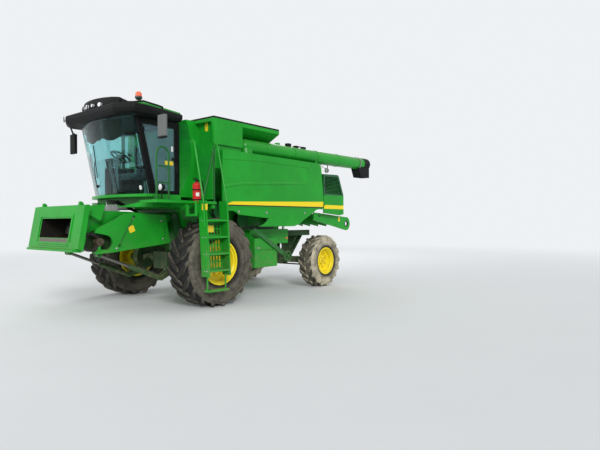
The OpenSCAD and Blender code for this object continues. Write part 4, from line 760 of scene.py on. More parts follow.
# Blank decals: name, node, seen from, its place there, size, round corner, tilt, finish, body
LABELS = (
    ("tank", "grain_tank", before, (1.14, 3.47), (0.085, 0.19), 0.012, 0, label_yellow, "root"),
    ("door", "door_glass", beside, (0.645, 2.70), (0.19, 0.075), 0.012, 0, label_yellow, "door"),
    ("window", "door_glass", beside, (0.575, 2.97), (0.045, 0.10), 0.012, 0, label_white, "door"),
    ("windscreen", "cab_glass", before, (0.783, 2.225), (0.05, 0.075), 0.012, 0, label_white, "root"),
    ("ladder_top", "ladder", before, (1.86, 1.86), (0.15, 0.11), 0.006, 0, label_yellow, "ladder_arm"),
    ("ladder", "ladder_grille", beside, (0.36, 1.469), (0.19, 0.125), 0.006, 0, label_yellow, "ladder_arm"),
    ("shield", "feeder_drive", beside, (1.331, 1.474), (0.115, 0.115), 0.012, 22, label_yellow, "feeder"),
    ("spreader", "straw_spreader", beside, (-4.38, 1.666), (0.07, 0.135), 0.03, 0, label_yellow, "spreader"),
)
LABEL_THICK = 0.0012


def labels():
    for name, node, seen_from, place, size, corner, tilt, material, body in LABELS:
        point, normal = seen_from(node, *place)
        up = Matrix.Rotation(math.radians(tilt), 3, normal) @ UP
        shape = Shape()
        shape.plate(point, normal, rounded_outline(*size, corner), LABEL_THICK, up)
        shape.piece(name + "_label", material, body)


# Wheels

# Axle, bolts of its wheels, radius of their circle, height of the disc and of the hub outward of the
# middle, radius of the hub's own circle of bolts, bolt size
AXLES = (
    ("front", 10, 0.222, 0.060, 0.130, 0.100, 0.034),
    ("rear", 8, 0.163, 0.030, 0.090, 0.055, 0.028),
)
# A wheel bolt's washer, nut and stud: sides, then rows of share of the bolt's size and height
STUDS = (
    (16, ((0.9, 0), (0.9, 0.004), (0.62, 0.010))),
    (6, ((0.56, 0.009), (0.56, 0.026), (0.48, 0.030))),
    (10, ((0.27, 0.029), (0.27, 0.040), (0.2, 0.043))),
)
# Raised rings of a sidewall: share of the way from rim to tread, half width
SIDEWALL_RINGS = ((0.12, 0.006), (0.36, 0.004), (0.42, 0.004), (0.60, 0.007))


def wheels():
    for axle, count, circle, disc, hub, cap, size in AXLES:
        for side, hand in SIDES:
            name = f"{axle}_{hand}"
            low, high = box(name + "_rim")
            middle = (low + high) / 2
            out = LEFT * side
            shape = Shape()
            for way in circle_ways(count, FRONT, UP, 0.5):
                spot = middle + way * circle + out * disc
                for sides, rows in STUDS:
                    shape.button(spot, out, [(size * share, h) for share, h in rows], sides)
            for way in circle_ways(6, FRONT, UP):
                shape.bolt(middle + way * cap + out * hub, out, 0.016)
            hub_cap = [(cap * 0.62, 0), (cap * 0.62, 0.008), (cap * 0.5, 0.020), (0, 0.026)]
            shape.turn(middle + out * hub, out, hub_cap, 28)
            # Valve stem through the rim's slope
            spot = middle + UP * (circle + 0.06) + out * disc
            stem = [spot - out * 0.01, spot + out * 0.03, spot + out * 0.05 + UP * 0.02]
            shape.sweep(smooth_path(stem, 4), 0.005)
            shape.piece(name + "_wheel_bolts", yellow_worn, name + "_wheel")
            tyre_rings(name, middle, out, front_tyre if axle == "front" else rear_tyre)


def tyre_rings(name, middle, out, finish):
    """Raised rings and the bead's edge on both sidewalls of a tyre."""
    reach, rim = half_height(name + "_tyre"), half_height(name + "_rim")
    shape = Shape()
    for way in (out, -out):
        for share, wide in SIDEWALL_RINGS:
            r = rim + (reach - rim) * share
            point, _ = onto(name + "_tyre", middle + UP * r + way, -way)
            foot = (point - middle).dot(way) - 0.006
            top = foot + 0.0095
            profile = [(r - wide, foot), (r - wide * 0.6, top), (r + wide * 0.6, top), (r + wide, foot)]
            shape.turn(middle, way, profile, 96, closed=True)
    shape.piece(name + "_tyre_rings", finish, name + "_wheel")


# Side panels, hood and rear lamps

# The panel's crease: x and z of its front end, of its straight run's first point, the run's step
# and count, then its rise along the rear edge
CREASE_FRONT = ((-0.24, 2.270), (-0.40, 2.312))
RUN_X, RUN_Z, RUN_STEP, RUN_COUNT = -0.74, 2.3573, (-0.25, 0.0153), 9
CREASE_REAR = ((-2.83, 2.500), (-2.875, 2.545), (-2.890, 2.61), (-2.890, 2.70), (-2.890, 2.80))
# The bead across: place across its run, height
BEAD = ((-0.020, -0.002), (-0.014, 0.010), (0.000, 0.014), (0.022, 0.009), (0.055, -0.002))
# x and z of the press lock and turn latches, and the z of the buffers behind the panel's rear edge
LATCHES = ((-1.436, 1.793), (-0.62, 1.80), (-2.75, 1.80))
BUFFERS_X, BUFFERS_Z = -3.53, (2.0, 2.25, 2.5)
RIVETS_X, RIVETS_Z = (-3.62, -3.85, -4.08, -4.25), (1.84, 2.245)


def panel_crease(side, name):
    """Pressed crease along the foot of the panel's upper field and up its rear end."""
    run = [(RUN_X + RUN_STEP[0] * k, RUN_Z + RUN_STEP[1] * k) for k in range(RUN_COUNT)]
    path = smooth_path([at(x, 0, z) for x, z in (*CREASE_FRONT, *run, *CREASE_REAR)], 4)
    out = LEFT * side
    rings = []
    for i, spot in enumerate(path):
        way = (path[min(i + 1, len(path) - 1)] - path[max(i - 1, 0)]).normalized()
        surface, _ = beside(name + "_side_panel", spot.x - AXLE_X, spot.z, side)
        across = out.cross(way) * side
        rings.append([surface + across * a + out * h for a, h in BEAD])
    shape = Shape()
    shape.skin(rings)
    shape.piece(name + "_panel_crease", green, name + "_panel", SOFT)


def panels():
    for side, name in SIDES:
        latches, buffers, rivets = Shape(), Shape(), Shape()
        for x, z in LATCHES:
            point, normal = beside(name + "_side_panel", x, z, side)
            latches.button(point, normal, [(0.026, 0), (0.026, 0.003), (0.020, 0.006), (0.016, 0.004)])
            latches.plate(point, normal, rounded_outline(0.022, 0.005, 0.002), 0.008)
        latches.piece(name + "_panel_latches", steel, name + "_panel")
        panel_crease(side, name)
        for z in BUFFERS_Z:
            spot = beside("rear_hood", BUFFERS_X, z, side)
            buffers.button(*spot, [(0.014, 0), (0.014, 0.004), (0.009, 0.007)], 16)
        buffers.piece(name + "_hood_buffers", rubber)
        for x in RIVETS_X:
            for z in RIVETS_Z:
                dome = [(0.011, 0), (0.011, 0.002), (0.006, 0.005), (0, 0.0055)]
                rivets.turn(*beside("rear_hood", x, z, side), dome, 14)
        rivets.piece(name + "_hood_rivets", green)


TAIL_LAMP_Y, TAIL_LAMP_Z = 1.28, 2.17
TAIL_LENSES = (("stop", lens_red), ("turn", lens_orange), ("reverse", lens_clear))


def rear_lamps():
    """Tail lamps on the hood's rear face: a shell, three lenses and a wire guard."""
    for side, name in SIDES:
        point, normal = onto("rear_hood", at(-6.0, TAIL_LAMP_Y * side, TAIL_LAMP_Z), FRONT)
        shell, guard = Shape(), Shape()
        shell.plate(point, normal, rounded_outline(0.30, 0.12, 0.02), 0.030, edge=0.002)
        shell.piece(name + "_tail_lamp_shell", black_plastic)
        for k, (tag, material) in enumerate(TAIL_LENSES):
            lens = Shape()
            spot = point + LEFT * (side * 0.085 * (1 - k)) + normal * 0.030
            lens.plate(spot, normal, rounded_outline(0.076, 0.092, 0.01), 0.014, edge=0.003)
            lens.piece(f"{name}_tail_lens_{tag}", material)
        for rise in (-0.04, 0.0, 0.04):
            ends = [point + UP * rise + way * 0.16 for way in (RIGHT, LEFT)]
            foot, reach = normal * 0.002, normal * 0.056
            guard.sweep([ends[0] + foot, ends[0] + reach, ends[1] + reach, ends[1] + foot], 0.003)
        guard.piece(name + "_tail_lamp_guard", steel)


# Grain tank, covers, unloading tube

# Rows of bolts on the tank's sides: front x, rear x, z, count
TANK_BOLTS = ((-0.15, -1.7, 3.02, 12), (-0.15, -0.9, 3.52, 6))
RIBS = 5


def tank():
    shape = Shape()
    for side, _ in SIDES:
        for front, rear, z, count in TANK_BOLTS:
            shape.bolts(lambda x, z: beside("grain_tank", x, z, side), (front, z), (rear, z), count, 0.016)
    shape.piece("tank_bolts", green)


def covers():
    """Ribs across the tank's two covers."""
    for _, name in SIDES:
        node = "tank_cover_" + name
        low, high = box(node)
        size = high - low
        shape = Shape()
        for k in range(RIBS):
            x = low.x + size.x * (k + 0.5) / RIBS
            feet = [onto(node, Vector((x, low.y + size.y * s / 8, CLEAR)), DOWN)[0] for s in range(1, 8)]
            shape.sweep([foot + UP * 0.004 for foot in feet], 0.011)
        shape.piece(node + "_ribs", black_plastic, name + "_cover")


TUBE_Y, TUBE_JOINTS, UNDER_TUBE = 1.27, (-1.55, -3.40, -5.45), 1.9
# Its work lamp, and the lamp's cable as x and z from the strap's foot
TUBE_LAMP_X = -3.98
TUBE_CABLE = ((0.33, 0.008), (0.28, -0.02), (0.16, -0.075), (0.03, -0.09))
# Cradle bracket and cable guides on the tube's top: x, length, height; the cable runs between two
TUBE_GUIDES = ((-2.42, 0.12, 0.070), (-2.70, 0.10, 0.045), (-2.98, 0.10, 0.045))
# Work lamps, as radius and distance along the axis: the housing from its rear, the lens from its back
TUBE_LAMP = (
    ((0, 0), (0.030, 0.004), (0.052, 0.035), (0.058, 0.075), (0.052, 0.080), (0.048, 0.070), (0, 0.070)),
    ((0.047, 0), (0.047, 0.003), (0.03, 0.007), (0, 0.009)),
)
PLATFORM_LAMP = (
    ((0, 0), (0.04, 0.004), (0.062, 0.04), (0.066, 0.08), (0.060, 0.086), (0.056, 0.074), (0, 0.074)),
    ((0.055, 0), (0.055, 0.004), (0.03, 0.009), (0, 0.010)),
)
LAMP_REAR = 0.045


def work_lamp(name, shape, middle, form, lens_at, body="root"):
    """Finish a lamp whose bracket is in shape: add its housing, and make its lens."""
    housing, lens = form
    shape.turn(middle + BACK * LAMP_REAR, FRONT, housing, 28)
    shape.piece(name, black_plastic, body)
    face = Shape()
    face.turn(middle + FRONT * lens_at, FRONT, lens, 28)
    face.piece(name + "_lens", lens_clear, body)


def tube_section(x, y):
    """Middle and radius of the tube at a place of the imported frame, met from above and below."""
    top, _ = onto("unloading_auger", Vector((x, y, CLEAR)), DOWN)
    bottom, _ = onto("unloading_auger", Vector((x, y, UNDER_TUBE)), UP)
    return (top + bottom) / 2, (top.z - bottom.z) / 2


def unloading_tube():
    bands, lamp, guides, ring = Shape(), Shape(), Shape(), Shape()
    for x in TUBE_JOINTS:
        centre, r = tube_section(x + AXLE_X, TUBE_Y + MID_Y)
        bands.band(centre, BACK, r - 0.004, r + 0.007, -0.016, 0.016)
        for way in circle_ways(12, LEFT, UP):
            bands.bolt(centre + way * (r + 0.006), way, 0.013)
    bands.piece("tube_joint_bands", green, "swing_auger")
    # Work lamp that hangs under the tube on a bent strap, with its cable
    spot, _ = onto("unloading_auger", at(TUBE_LAMP_X, TUBE_Y, UNDER_TUBE), UP)
    lamp.sweep([spot + UP * 0.01, spot + DOWN * 0.075, spot + DOWN * 0.095 + FRONT * 0.02], 0.010)
    centre = spot + DOWN * 0.135 + FRONT * 0.02
    cable = [spot + FRONT * x + UP * z for x, z in TUBE_CABLE]
    lamp.sweep(smooth_path([*cable, centre + BACK * 0.02], 6), 0.006)
    work_lamp("tube_work_lamp", lamp, centre, TUBE_LAMP, 0.026, "swing_auger")
    tops = []
    for x, long, rise in TUBE_GUIDES:
        top, _ = above("unloading_auger", x, TUBE_Y)
        tops.append(top + UP * 0.038)
        half = Vector((long / 2, 0.05, 0))
        guides.block(top - half + DOWN * 0.012, top + half + UP * rise, 0.010)
    guides.sweep(tops[1:], 0.012)
    guides.piece("tube_top_brackets", black_plastic, "swing_auger")
    # Clamp band with its bolts round the rubber spout's collar
    low, high = box("auger_spout")
    y = (low.y + high.y) / 2
    centre = tube_section(high.x + 0.05, y)[0] + BACK * 0.10
    r = (onto("auger_spout", Vector((high.x - 0.05, y, CLEAR)), DOWN)[0] - centre).length
    ring.band(centre, BACK, r - 0.002, r + 0.004, -0.014, 0.014)
    for a in (0.3, 1.2, 2.0, 2.9):
        way = LEFT * math.cos(a) + UP * math.sin(a)
        ring.bolt(centre + way * (r + 0.003), way, 0.012)
    ring.piece("spout_clamp_bolts", steel, "swing_auger")


# Cab

# The blind inside the top of the windscreen: half width, top, lowest straight height
BLIND_HALF_W, BLIND_TOP, BLIND_LOW = 0.62, 3.455, 3.19
BLIND_COLUMNS, BLIND_ROWS = 40, 8
# Its scallops: depth and how fast they follow each other; its tab: y, drop, half width
SCALLOP, SCALLOP_TURNS = 0.10, 5.0
TAB_Y, TAB_DROP, TAB_HALF_W = -0.02, 0.06, 0.06
# The wiper on the windscreen, as y and z: foot and elbow of its arm, and the blade's three points
WIPER_FOOT, WIPER_ELBOW = (-0.42, 2.30), (-0.30, 2.75)
WIPER_BLADE = ((-0.36, 2.45), (-0.30, 2.75), (-0.24, 3.05))
# Lamps of the visor and of its wing: y, z, width
ROOF_LAMPS = (
    (-0.288, 3.711, 0.078), (-0.098, 3.711, 0.100), (0.098, 3.711, 0.072), (0.288, 3.711, 0.090),
    (-0.865, 3.592, 0.076), (-0.975, 3.592, 0.076),
)
MIRROR_Y, MIRROR_Z = 1.53, 3.235
CLAMP_X, CLAMP_Z = 1.22, 3.436


def blind_edge(y):
    """Height of the blind's scalloped lower edge, with a small tab near the middle."""
    tab = TAB_DROP * math.exp(-((y - TAB_Y) / TAB_HALF_W) ** 2)
    return BLIND_LOW - SCALLOP * abs(math.sin(y * SCALLOP_TURNS)) - tab


def cab_outside():
    blind, wiper, bezels, bulbs = Shape(), Shape(), Shape(), Shape()
    rings = []
    for k in range(BLIND_COLUMNS + 1):
        y = BLIND_HALF_W * (2 * k / BLIND_COLUMNS - 1)
        drop = (blind_edge(y) - BLIND_TOP) / BLIND_ROWS
        heights = [BLIND_TOP + drop * row for row in range(BLIND_ROWS + 1)]
        pane = [onto("cab_glass", at(0.9, y, z), FRONT)[0] for z in heights]
        rings.append([p + BACK * 0.020 for p in pane] + [p + BACK * 0.026 for p in pane[::-1]])
    blind.skin(rings)
    blind.piece("cab_blind", headliner)

    foot, normal = before("cab_glass", *WIPER_FOOT)
    elbow, elbow_normal = before("cab_glass", *WIPER_ELBOW)
    wiper.button(foot, normal, [(0.030, 0), (0.030, 0.03), (0.02, 0.045)], 20)
    arm = [foot + normal * 0.035, foot.lerp(elbow, 0.5) + normal * 0.045, elbow + elbow_normal * 0.03]
    wiper.sweep(smooth_path(arm, 6), 0.008)
    blade = [before("cab_glass", y, z) for y, z in WIPER_BLADE]
    wiper.sweep(smooth_path([spot + way * 0.012 for spot, way in blade]), 0.009, 6)
    wiper.piece("windscreen_wiper", black_plastic)

    for y, z, wide in ROOF_LAMPS:
        point, normal = before("roof_lamps", y, z)
        r = wide / 2
        bezel = [(r * share, h) for share, h in ((1.06, -0.008), (1.14, -0.002), (1.10, 0.004),
                                                 (0.90, 0.005), (0.86, -0.001))]
        bezels.turn(point, normal, bezel, 32, True)
        bulbs.turn(point, normal, [(r * 0.34, 0), (r * 0.30, 0.004), (0, 0.007)], 20)
    bezels.piece("roof_lamp_bezels", black_plastic)
    bulbs.piece("roof_lamp_bulbs", steel)

    # Mirror glass on the rear faces, and the clamps on their arms
    for side, name in SIDES:
        mirror, clamp = Shape(), Shape()
        point, normal = onto("mirrors", at(-1.0, MIRROR_Y * side, MIRROR_Z), FRONT)
        mirror.plate(point, normal, rounded_outline(0.155, 0.345, 0.028, 7), 0.0022)
        mirror.piece(name + "_mirror_glass", mirror_glass)
        spot = at(CLAMP_X, MIRROR_Y * side, CLAMP_Z)
        clamp.button(spot, UP, [(0.030, 0), (0.030, 0.022), (0.022, 0.030)], 20)
        clamp.piece(name + "_mirror_clamp", black_plastic)


def door_handle():
    low, high = box("cab_door")
    start = Vector((low.x + 0.024, CLEAR, low.z + (high.z - low.z) * 0.36))
    spot, normal = onto("cab_door", start, RIGHT)
    handle = Shape()
    handle.plate(spot, normal, rounded_outline(0.05, 0.20, 0.02), 0.012, edge=0.002)
    bow = ((0.08, 0.01), (0.07, 0.045), (-0.07, 0.045), (-0.08, 0.01))
    handle.sweep(smooth_path([spot + UP * rise + normal * off for rise, off in bow], 6), 0.009, 10)
    handle.piece("door_handle", black_plastic, "door")


CAB_FLOOR = 2.11
ARM_Y = 0.262
BACK_LEAN = math.radians(-83.0)
# Pads of the seat: name, middle, lean, half sizes, swell above and below, seams, finish, fill
PADS = (
    ("cushion", (0.80, 0, 2.47), 0, (0.235, 0.235), 0.085, 0.055, (-0.45, 0.45), cloth, 0.85),
    ("back", (0.595, 0, 2.82), BACK_LEAN, (0.29, 0.225), 0.06, 0.045, (-0.5, 0.5), cloth, 0.85),
    ("head_rest", (0.565, 0, 3.145), BACK_LEAN, (0.045, 0.13), 0.04, 0.04, (), cloth, 0.9),
    ("left_arm_rest", (0.76, ARM_Y, 2.655), 0, (0.15, 0.032), 0.024, 0.024, (), black_plastic, 0.9),
    ("right_arm_rest", (0.76, -ARM_Y, 2.655), 0, (0.15, 0.032), 0.024, 0.024, (), black_plastic, 0.9),
)
# The bellows under the seat: its middle, folds, their pitch, widths of a valley and of a ridge
BELLOWS_X, FOLDS, FOLD_PITCH, FOLD_WIDTHS = 0.78, 13, 0.022, (0.270, 0.298)
WHEEL_LEAN = math.radians(-30.0)
WHEEL_AT = at(1.08, 0, 2.84)
WHEEL_R, GRIP_R = 0.188, 0.015
CONSOLE_Y, CONSOLE_TOP = -0.44, CAB_FLOOR + 0.56


def seat():
    """Cushion, back, head rest and arm rests, on a bellows."""
    for name, middle, lean, half, top, bottom, seams, finish, fill in PADS:
        shape = Shape()
        place = Matrix.Translation(at(*middle)) @ Matrix.Rotation(lean, 4, "Y")
        shape.pad(place, half, top, bottom, seams)
        pad = shape.piece("seat_" + name, finish, angle=SOFT)
        if name == "cushion":
            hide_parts("seat")
    bellows = Shape()
    for side, _ in SIDES:
        bellows.sweep([at(0.62, ARM_Y * side, 2.52), at(0.62, ARM_Y * side, 2.63)], 0.014)
    rings = []
    for k in range(FOLDS):
        width = FOLD_WIDTHS[k % 2]
        middle = at(BELLOWS_X, 0, CAB_FLOOR + 0.03 + FOLD_PITCH * k)
        rings.append([middle + FRONT * x + LEFT * y for x, y in rounded_outline(width, width, 0.05)])
    bellows.skin(rings)
    bellows.block(at(0.62, -0.17, CAB_FLOOR + 0.295), at(0.98, 0.17, CAB_FLOOR + 0.325), 0.008)
    bellows.block(at(0.62, -0.15, CAB_FLOOR + 0.001), at(0.94, 0.15, CAB_FLOOR + 0.032), 0.006)
    bellows.piece("seat_suspension", rubber)


def cab_controls():
    """Wheel rim with grip, horn pad, knob and stalk, and the console's lever, buttons and screen."""
    wheel, console = Shape(), Shape()
    axis = (Matrix.Rotation(WHEEL_LEAN, 3, "Y") @ UP).normalized()
    grip = [(WHEEL_R + GRIP_R * way.x, GRIP_R * way.z) for way in circle_ways(8, FRONT, UP)]
    wheel.turn(WHEEL_AT + axis * 0.013, axis, grip, 48, True)
    wheel.turn(WHEEL_AT + axis * 0.024, axis, [(0.058, 0), (0.054, 0.012), (0.03, 0.018), (0, 0.019)], 28)
    knob = [(0.02, 0), (0.026, 0.02), (0.026, 0.035), (0.015, 0.05), (0, 0.052)]
    wheel.turn(WHEEL_AT + axis * 0.03 + LEFT * 0.13 + BACK * 0.09, axis, knob, 16)
    wheel.sweep([WHEEL_AT - axis * 0.05 + RIGHT * 0.03, WHEEL_AT - axis * 0.04 + RIGHT * 0.17], 0.008)
    wheel.piece("steering_wheel_grip", black_plastic, angle=SOFT)
    lever = [at(x, CONSOLE_Y, CONSOLE_TOP + z) for x, z in ((0.93, 0), (0.935, 0.09), (0.955, 0.13))]
    console.sweep(smooth_path(lever, 6), 0.012, 10)
    knob_at = Matrix.Translation(at(0.965, CONSOLE_Y, CONSOLE_TOP + 0.165))
    console.pad(knob_at @ Matrix.Rotation(0.35, 4, "Y"), (0.028, 0.034), 0.045, 0.045)
    for i in range(3):
        for j in range(4):
            spot = at(0.62 + 0.055 * i, -0.52 + 0.045 * j, CONSOLE_TOP)
            console.plate(spot, UP, rounded_outline(0.028, 0.032, 0.006), 0.010, FRONT, edge=0.002)
    low, high = at(0.985, -0.64, CONSOLE_TOP + 0.02), at(1.015, -0.40, CONSOLE_TOP + 0.20)
    console.block(low, high, 0.008, Matrix.Rotation(0.2, 4, "Y"))
    console.sweep([at(1.03, -0.52, CONSOLE_TOP - 0.02), at(1.005, -0.52, CONSOLE_TOP + 0.06)], 0.013)
    console.piece("console_controls", black_plastic)


# Access: ladder, extinguisher, platform

STEPS, STEP_RISE = 4, 0.3
LOWEST_STEP = 0.705


def ladder_parts():
    """Raised grip dots on the steps' tops, and bolts through the stringers."""
    grip, bolts = Shape(), Shape()
    for i in range(STEPS):
        z = LOWEST_STEP + STEP_RISE * i
        for k in range(9):
            for row in range(3):
                start = at(0.12 + 0.05 * k, 1.80 + 0.035 * row - 0.0006 * i, z + 0.2)
                point, normal = onto("ladder_steps", start, DOWN)
                if normal.z > 0.9 and abs(point.z - z - 0.034) < 0.02:
                    grip.button(point, normal, [(0.008, 0), (0.006, 0.0035)], 8)
    grip.piece("ladder_step_grips", green, "ladder_arm")
    for x, way in ((1.2, BACK), (-0.6, FRONT)):
        for i in range(STEPS):
            z = 0.722 + STEP_RISE * i
            outer = 1.975 - 0.09 * (z - 0.62) / 1.36
            for inward in (0.12, 0.05):
                bolts.bolt(*onto("ladder", at(x, outer - inward, z), way), 0.016)
    bolts.piece("ladder_bolts", steel, "ladder_arm")


BOTTLE_AT = at(0.520, 1.576, 0)
# The hose from the valve down to the nozzle, from the bottle's axis
BOTTLE_HOSE = (
    (-0.02, 0.0, 2.335), (-0.075, 0.03, 2.35), (-0.105, 0.05, 2.25), (-0.098, 0.05, 2.08),
    (-0.085, 0.045, 1.99),
)
# Its label: radius and height of the corners of its section
PAPER = ((0.0752, 2.06), (0.0762, 2.06), (0.0762, 2.125), (0.0752, 2.125))
SHOULDER = ((0.0745, 0), (0.073, 0.012), (0.062, 0.030), (0.040, 0.044), (0.031, 0.048))


def on_bottle(x, y, z):
    return BOTTLE_AT + Vector((x, y, z))


def extinguisher():
    """Clamps, valve with its two levers, hose and nozzle; shoulder; blank label."""
    fittings, shoulder, paper = Shape(), Shape(), Shape()
    for z in (1.985, 2.165):
        fittings.band(BOTTLE_AT + UP * z, UP, 0.074, 0.079, 0, 0.022, 40)
        fittings.block(on_bottle(0.076, -0.012, z), on_bottle(0.094, 0.012, z + 0.022), 0.003)
    fittings.button(BOTTLE_AT + UP * 2.318, UP, [(0.026, 0), (0.026, 0.03), (0.02, 0.036)], 20)
    fittings.block(on_bottle(-0.02, -0.014, 2.35), on_bottle(0.085, 0.014, 2.366), 0.004)
    tilt = Matrix.Rotation(-0.12, 4, "Y")
    fittings.block(on_bottle(-0.02, -0.012, 2.378), on_bottle(0.09, 0.012, 2.388), 0.003, tilt)
    fittings.sweep(smooth_path([on_bottle(*p) for p in BOTTLE_HOSE]), 0.011, 10)
    fittings.button(on_bottle(-0.085, 0.045, 1.995), DOWN, [(0.013, 0), (0.020, 0.05), (0.022, 0.09)], 14)
    fittings.piece("extinguisher_fittings", black_plastic)
    shoulder.turn(BOTTLE_AT + UP * 2.264, UP, SHOULDER, 40)
    shoulder.piece("extinguisher_shoulder", red, angle=SOFT)
    angles = [math.radians(38 + 6 * k) for k in range(9)]
    ways = [FRONT * math.cos(a) + LEFT * math.sin(a) for a in angles]
    paper.skin([[BOTTLE_AT + way * r + UP * z for r, z in PAPER] for way in ways])
    paper.piece("extinguisher_label", label_white, angle=SOFT)


PLATFORM_LAMP_FOOT = at(1.075, 1.30, 1.985)


def platform_lamp():
    """Work lamp on the platform's front corner."""
    lamp = Shape()
    foot = PLATFORM_LAMP_FOOT
    lamp.button(foot, UP, [(0.035, 0), (0.035, 0.006), (0.014, 0.012)], 20)
    lamp.sweep([foot, foot + UP * 0.17], 0.011, 10)
    work_lamp("platform_lamp", lamp, foot + UP * 0.225, PLATFORM_LAMP, 0.030)


# Feeder house, header drive, lift cylinders

FEEDER_BOLTS_X, FEEDER_BOLTS_Y = (0.75, 1.9), (0.30, -0.45)
SHIELD_SCREWS = ((0.70, 1.62), (0.66, 1.28), (1.30, 1.66), (1.62, 1.14))
HOSES, HOSE_END_X = 4, 0.95
# The lift cylinder's foot and rod eye, as x and z, and the plane that it lies in
LIFT_FOOT, LIFT_EYE, LIFT_Y = Vector((0.570, 0, 0.515)), Vector((1.840, 0, 1.035)), 0.522


def feeder():
    bolts, screws, hoses = Shape(), Shape(), Shape()
    for y in FEEDER_BOLTS_Y:
        rear, front = [(x, y) for x in FEEDER_BOLTS_X]
        bolts.bolts(lambda x, y: above("feeder_house", x, y), rear, front, 7)
    bolts.piece("feeder_bolts", green, "feeder")
    for x, z in SHIELD_SCREWS:
        spot = beside("feeder_drive", x, z)
        screws.button(*spot, [(0.020, 0), (0.020, 0.004), (0.013, 0.009)], 20)
    screws.piece("shield_screws", steel, "feeder")
    # Hoses from the coupler along the duct's top to its hinge
    for k in range(HOSES):
        x, y = 1.50 + 0.045 * k, 0.50
        end = above("feeder_house", HOSE_END_X, 0.38 - 0.035 * k)[0] + UP * 0.02
        bend = [at(x - 0.10, 0.44 - 0.03 * k, 1.985), at(1.20, 0.40 - 0.035 * k, 1.90)]
        hoses.sweep(smooth_path([at(x, y, 1.90), at(x, y, 1.96), *bend, end]), 0.012, 10)
    hoses.piece("coupler_hoses", rubber, "feeder")


def lift_pipes():
    """Steel pipes clipped along the lift cylinders' barrels."""
    way = (LIFT_EYE - LIFT_FOOT).normalized()
    rise = Vector((-way.z, 0, way.x))
    shape = Shape()
    for side, _ in SIDES:
        base = at(LIFT_FOOT.x, LIFT_Y * side, LIFT_FOOT.z)
        top = onto("lift_barrels", base + way * 0.35 + rise * 0.6, -rise)[0]
        off = rise * ((top - base).dot(rise) + 0.012)
        pipe = [base + way * s + off for s in (0.14, 0.30, 0.55)]
        dip = rise * 0.012
        shape.sweep([pipe[0] - dip, *pipe, pipe[-1] + way * 0.03 - dip], 0.009, 10)
        for s in (0.22, 0.42):
            clip = base + way * s + off
            corner = Vector((0.015, 0.016, 0.006))
            shape.block(clip - rise * 0.014 - corner, clip + dip + corner, 0.003)
    shape.piece("lift_cylinder_pipes", dark_steel, "lift_barrel_pair")


# Engine deck, service box, spreader

MARKER_AT, REFLECTOR_AT = (-2.50, 1.04), (-2.55, 1.22)
DECK_BOLTS_X, DECK_BOLTS_Y = (-2.2, -2.75, -3.3), (-1.3, 0.98)
BOX_LATCHES_X, BOX_LATCHES_Z = (-1.43, -1.95), 1.03
SPREADER_Y = 1.35
SPREADER_PIN, SPREADER_END = (-3.52, 1.765), (-4.72, 1.545)


def deck():
    bolts, marker, reflector, latches = Shape(), Shape(), Shape(), Shape()
    for x in DECK_BOLTS_X:
        for y in DECK_BOLTS_Y:
            bolts.bolt(*above("engine_deck", x, y), 0.02)
    bolts.piece("deck_bolts", steel)
    glass_cap = [(0.028, 0), (0.028, 0.012), (0.034, 0.02), (0.034, 0.045), (0.02, 0.06), (0, 0.062)]
    marker.turn(*above("service_box", *MARKER_AT), glass_cap, 20)
    marker.piece("side_marker", lens_clear)
    dome = [(0.034, 0), (0.034, 0.006), (0.03, 0.010), (0, 0.011)]
    reflector.turn(*beside("service_box", *REFLECTOR_AT), dome)
    reflector.piece("side_reflector", lens_orange)
    for x in BOX_LATCHES_X:
        point, normal = beside("service_box", x, BOX_LATCHES_Z)
        latches.plate(point, normal, rounded_outline(0.10, 0.028, 0.008), 0.010, edge=0.002)
        latches.turn(point + normal * 0.009, normal, [(0.010, 0), (0.010, 0.006), (0, 0.007)], 14)
    latches.piece("service_box_latches", steel)


def spreader_sides():
    """Rings round the pins; round ends of the side plates, each with its opening and a rubber edge."""
    rings, ends = Shape(), Shape()
    for side, _ in SIDES:
        out = LEFT * side
        pin, middle = [at(x, SPREADER_Y * side, z) for x, z in (SPREADER_PIN, SPREADER_END)]
        rings.turn(pin, out, [(0.029, -0.010), (0.029, 0.006), (0.045, 0.006), (0.049, 0.0)], 28, True)
        ends.band(middle, out, 0.065, 0.175, -0.029, -0.001)
        rings.turn(middle, out, [(0.062, -0.031), (0.062, 0.005), (0.078, 0.005), (0.082, -0.002)], 32, True)
    ends.piece("spreader_round_ends", green, "spreader")
    rings.piece("spreader_side_rings", rubber, "spreader")


# Studio

BACKDROP = (0.86, 0.88, 0.90)
FLOOR_DARK, FLOOR_PALE = (0.73, 0.74, 0.74), (0.76, 0.77, 0.77)
FLOOR_HALF = 90.0
# Distances between which the floor runs into the backdrop
FLOOR_ENDS = (7.0, 26.0)
SKY, SKY_LIGHT = (0.93, 0.96, 1.0), 0.55
LIT = Vector((0.0, 0.0, 1.6))
# Lamps: name, place, strength, then the sun's angle or the side of a square area
SUN = ("key", (9.5, 14.0, 10.0), 2.0, math.radians(20.0))
AREAS = (("fill", (14.0, -4.0, 7.0), 600.0, 8.0), ("back", (-12.0, -9.0, 10.0), 600.0, 8.0))


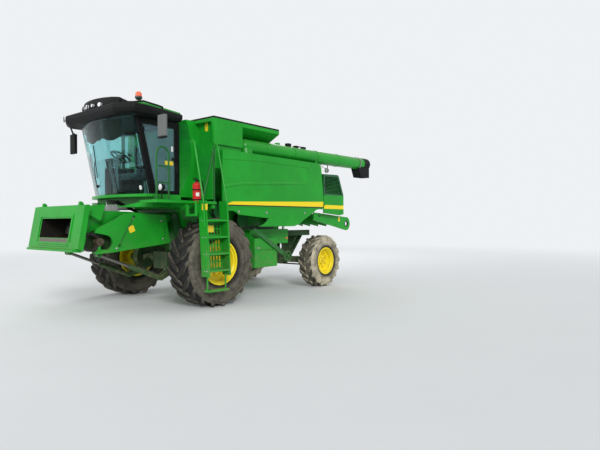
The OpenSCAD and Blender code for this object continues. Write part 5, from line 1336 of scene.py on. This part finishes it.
def hang(kind, name, place, energy):
    """A lamp that looks at the machine."""
    light = bpy.data.lights.new(name, kind)
    light.energy = energy
    lamp = put(name, light)
    lamp.location = place
    lamp.rotation_euler = (LIT - Vector(place)).to_track_quat("-Z", "Y").to_euler()
    return light


def studio():
    corners = [(FLOOR_HALF * x, FLOOR_HALF * y, 0) for x, y in ((-1, -1), (1, -1), (1, 1), (-1, 1))]
    floor = bpy.data.meshes.new("floor")
    floor.from_pydata(corners, [], [(0, 1, 2, 3)])
    # Near the machine the floor takes its shadow; far off it runs into the backdrop
    g = Graph("studio_floor")
    g.set(Base_Color=g.mix(g.noise(0.8, 3.0), FLOOR_DARK, FLOOR_PALE), Roughness=0.9)
    g.show("Emission", BACKDROP, g.steps(g.radius((0, 0, 0), "XY"), *FLOOR_ENDS) * g.seen())
    floor.materials.append(g.owner)
    put("studio_floor", floor)

    world = bpy.data.worlds.new("studio_world")
    bpy.context.scene.world = world
    sky = Graph(world)
    sky.set(Color=SKY, Strength=SKY_LIGHT)
    sky.show("Background", BACKDROP, sky.seen())

    hang("SUN", *SUN[:3]).angle = SUN[3]
    for *lamp, size in AREAS:
        hang("AREA", *lamp).size = size
    bpy.context.scene.view_settings.view_transform = "Standard"


CAMERA_AT = at(6.348, 8.632, 1.577)
YAW, PITCH, ROLL = (math.radians(angle) for angle in (-141.32, -0.28, -0.25))
SENSOR, LENS = 36.0, 29.67


def camera():
    """The photo's own viewpoint, solved from the wheels."""
    data = bpy.data.cameras.new("camera")
    data.sensor_width = SENSOR
    data.lens = LENS
    ahead = Vector((math.cos(YAW), math.sin(YAW), 0)) * math.cos(PITCH) + UP * math.sin(PITCH)
    right = ahead.cross(UP).normalized()
    turned = Matrix.Rotation(-ROLL, 3, ahead)
    axes = Matrix((turned @ right, turned @ right.cross(ahead), -ahead)).transposed()
    obj = put("camera", data)
    obj.matrix_world = Matrix.Translation(CAMERA_AT) @ axes.to_4x4()
    bpy.context.scene.camera = obj


wheels()
panels()
rear_lamps()
tank()
covers()
unloading_tube()
cab_outside()
door_handle()
seat()
cab_controls()
ladder_parts()
extinguisher()
platform_lamp()
feeder()
lift_pipes()
deck()
spreader_sides()
labels()
studio()
camera()
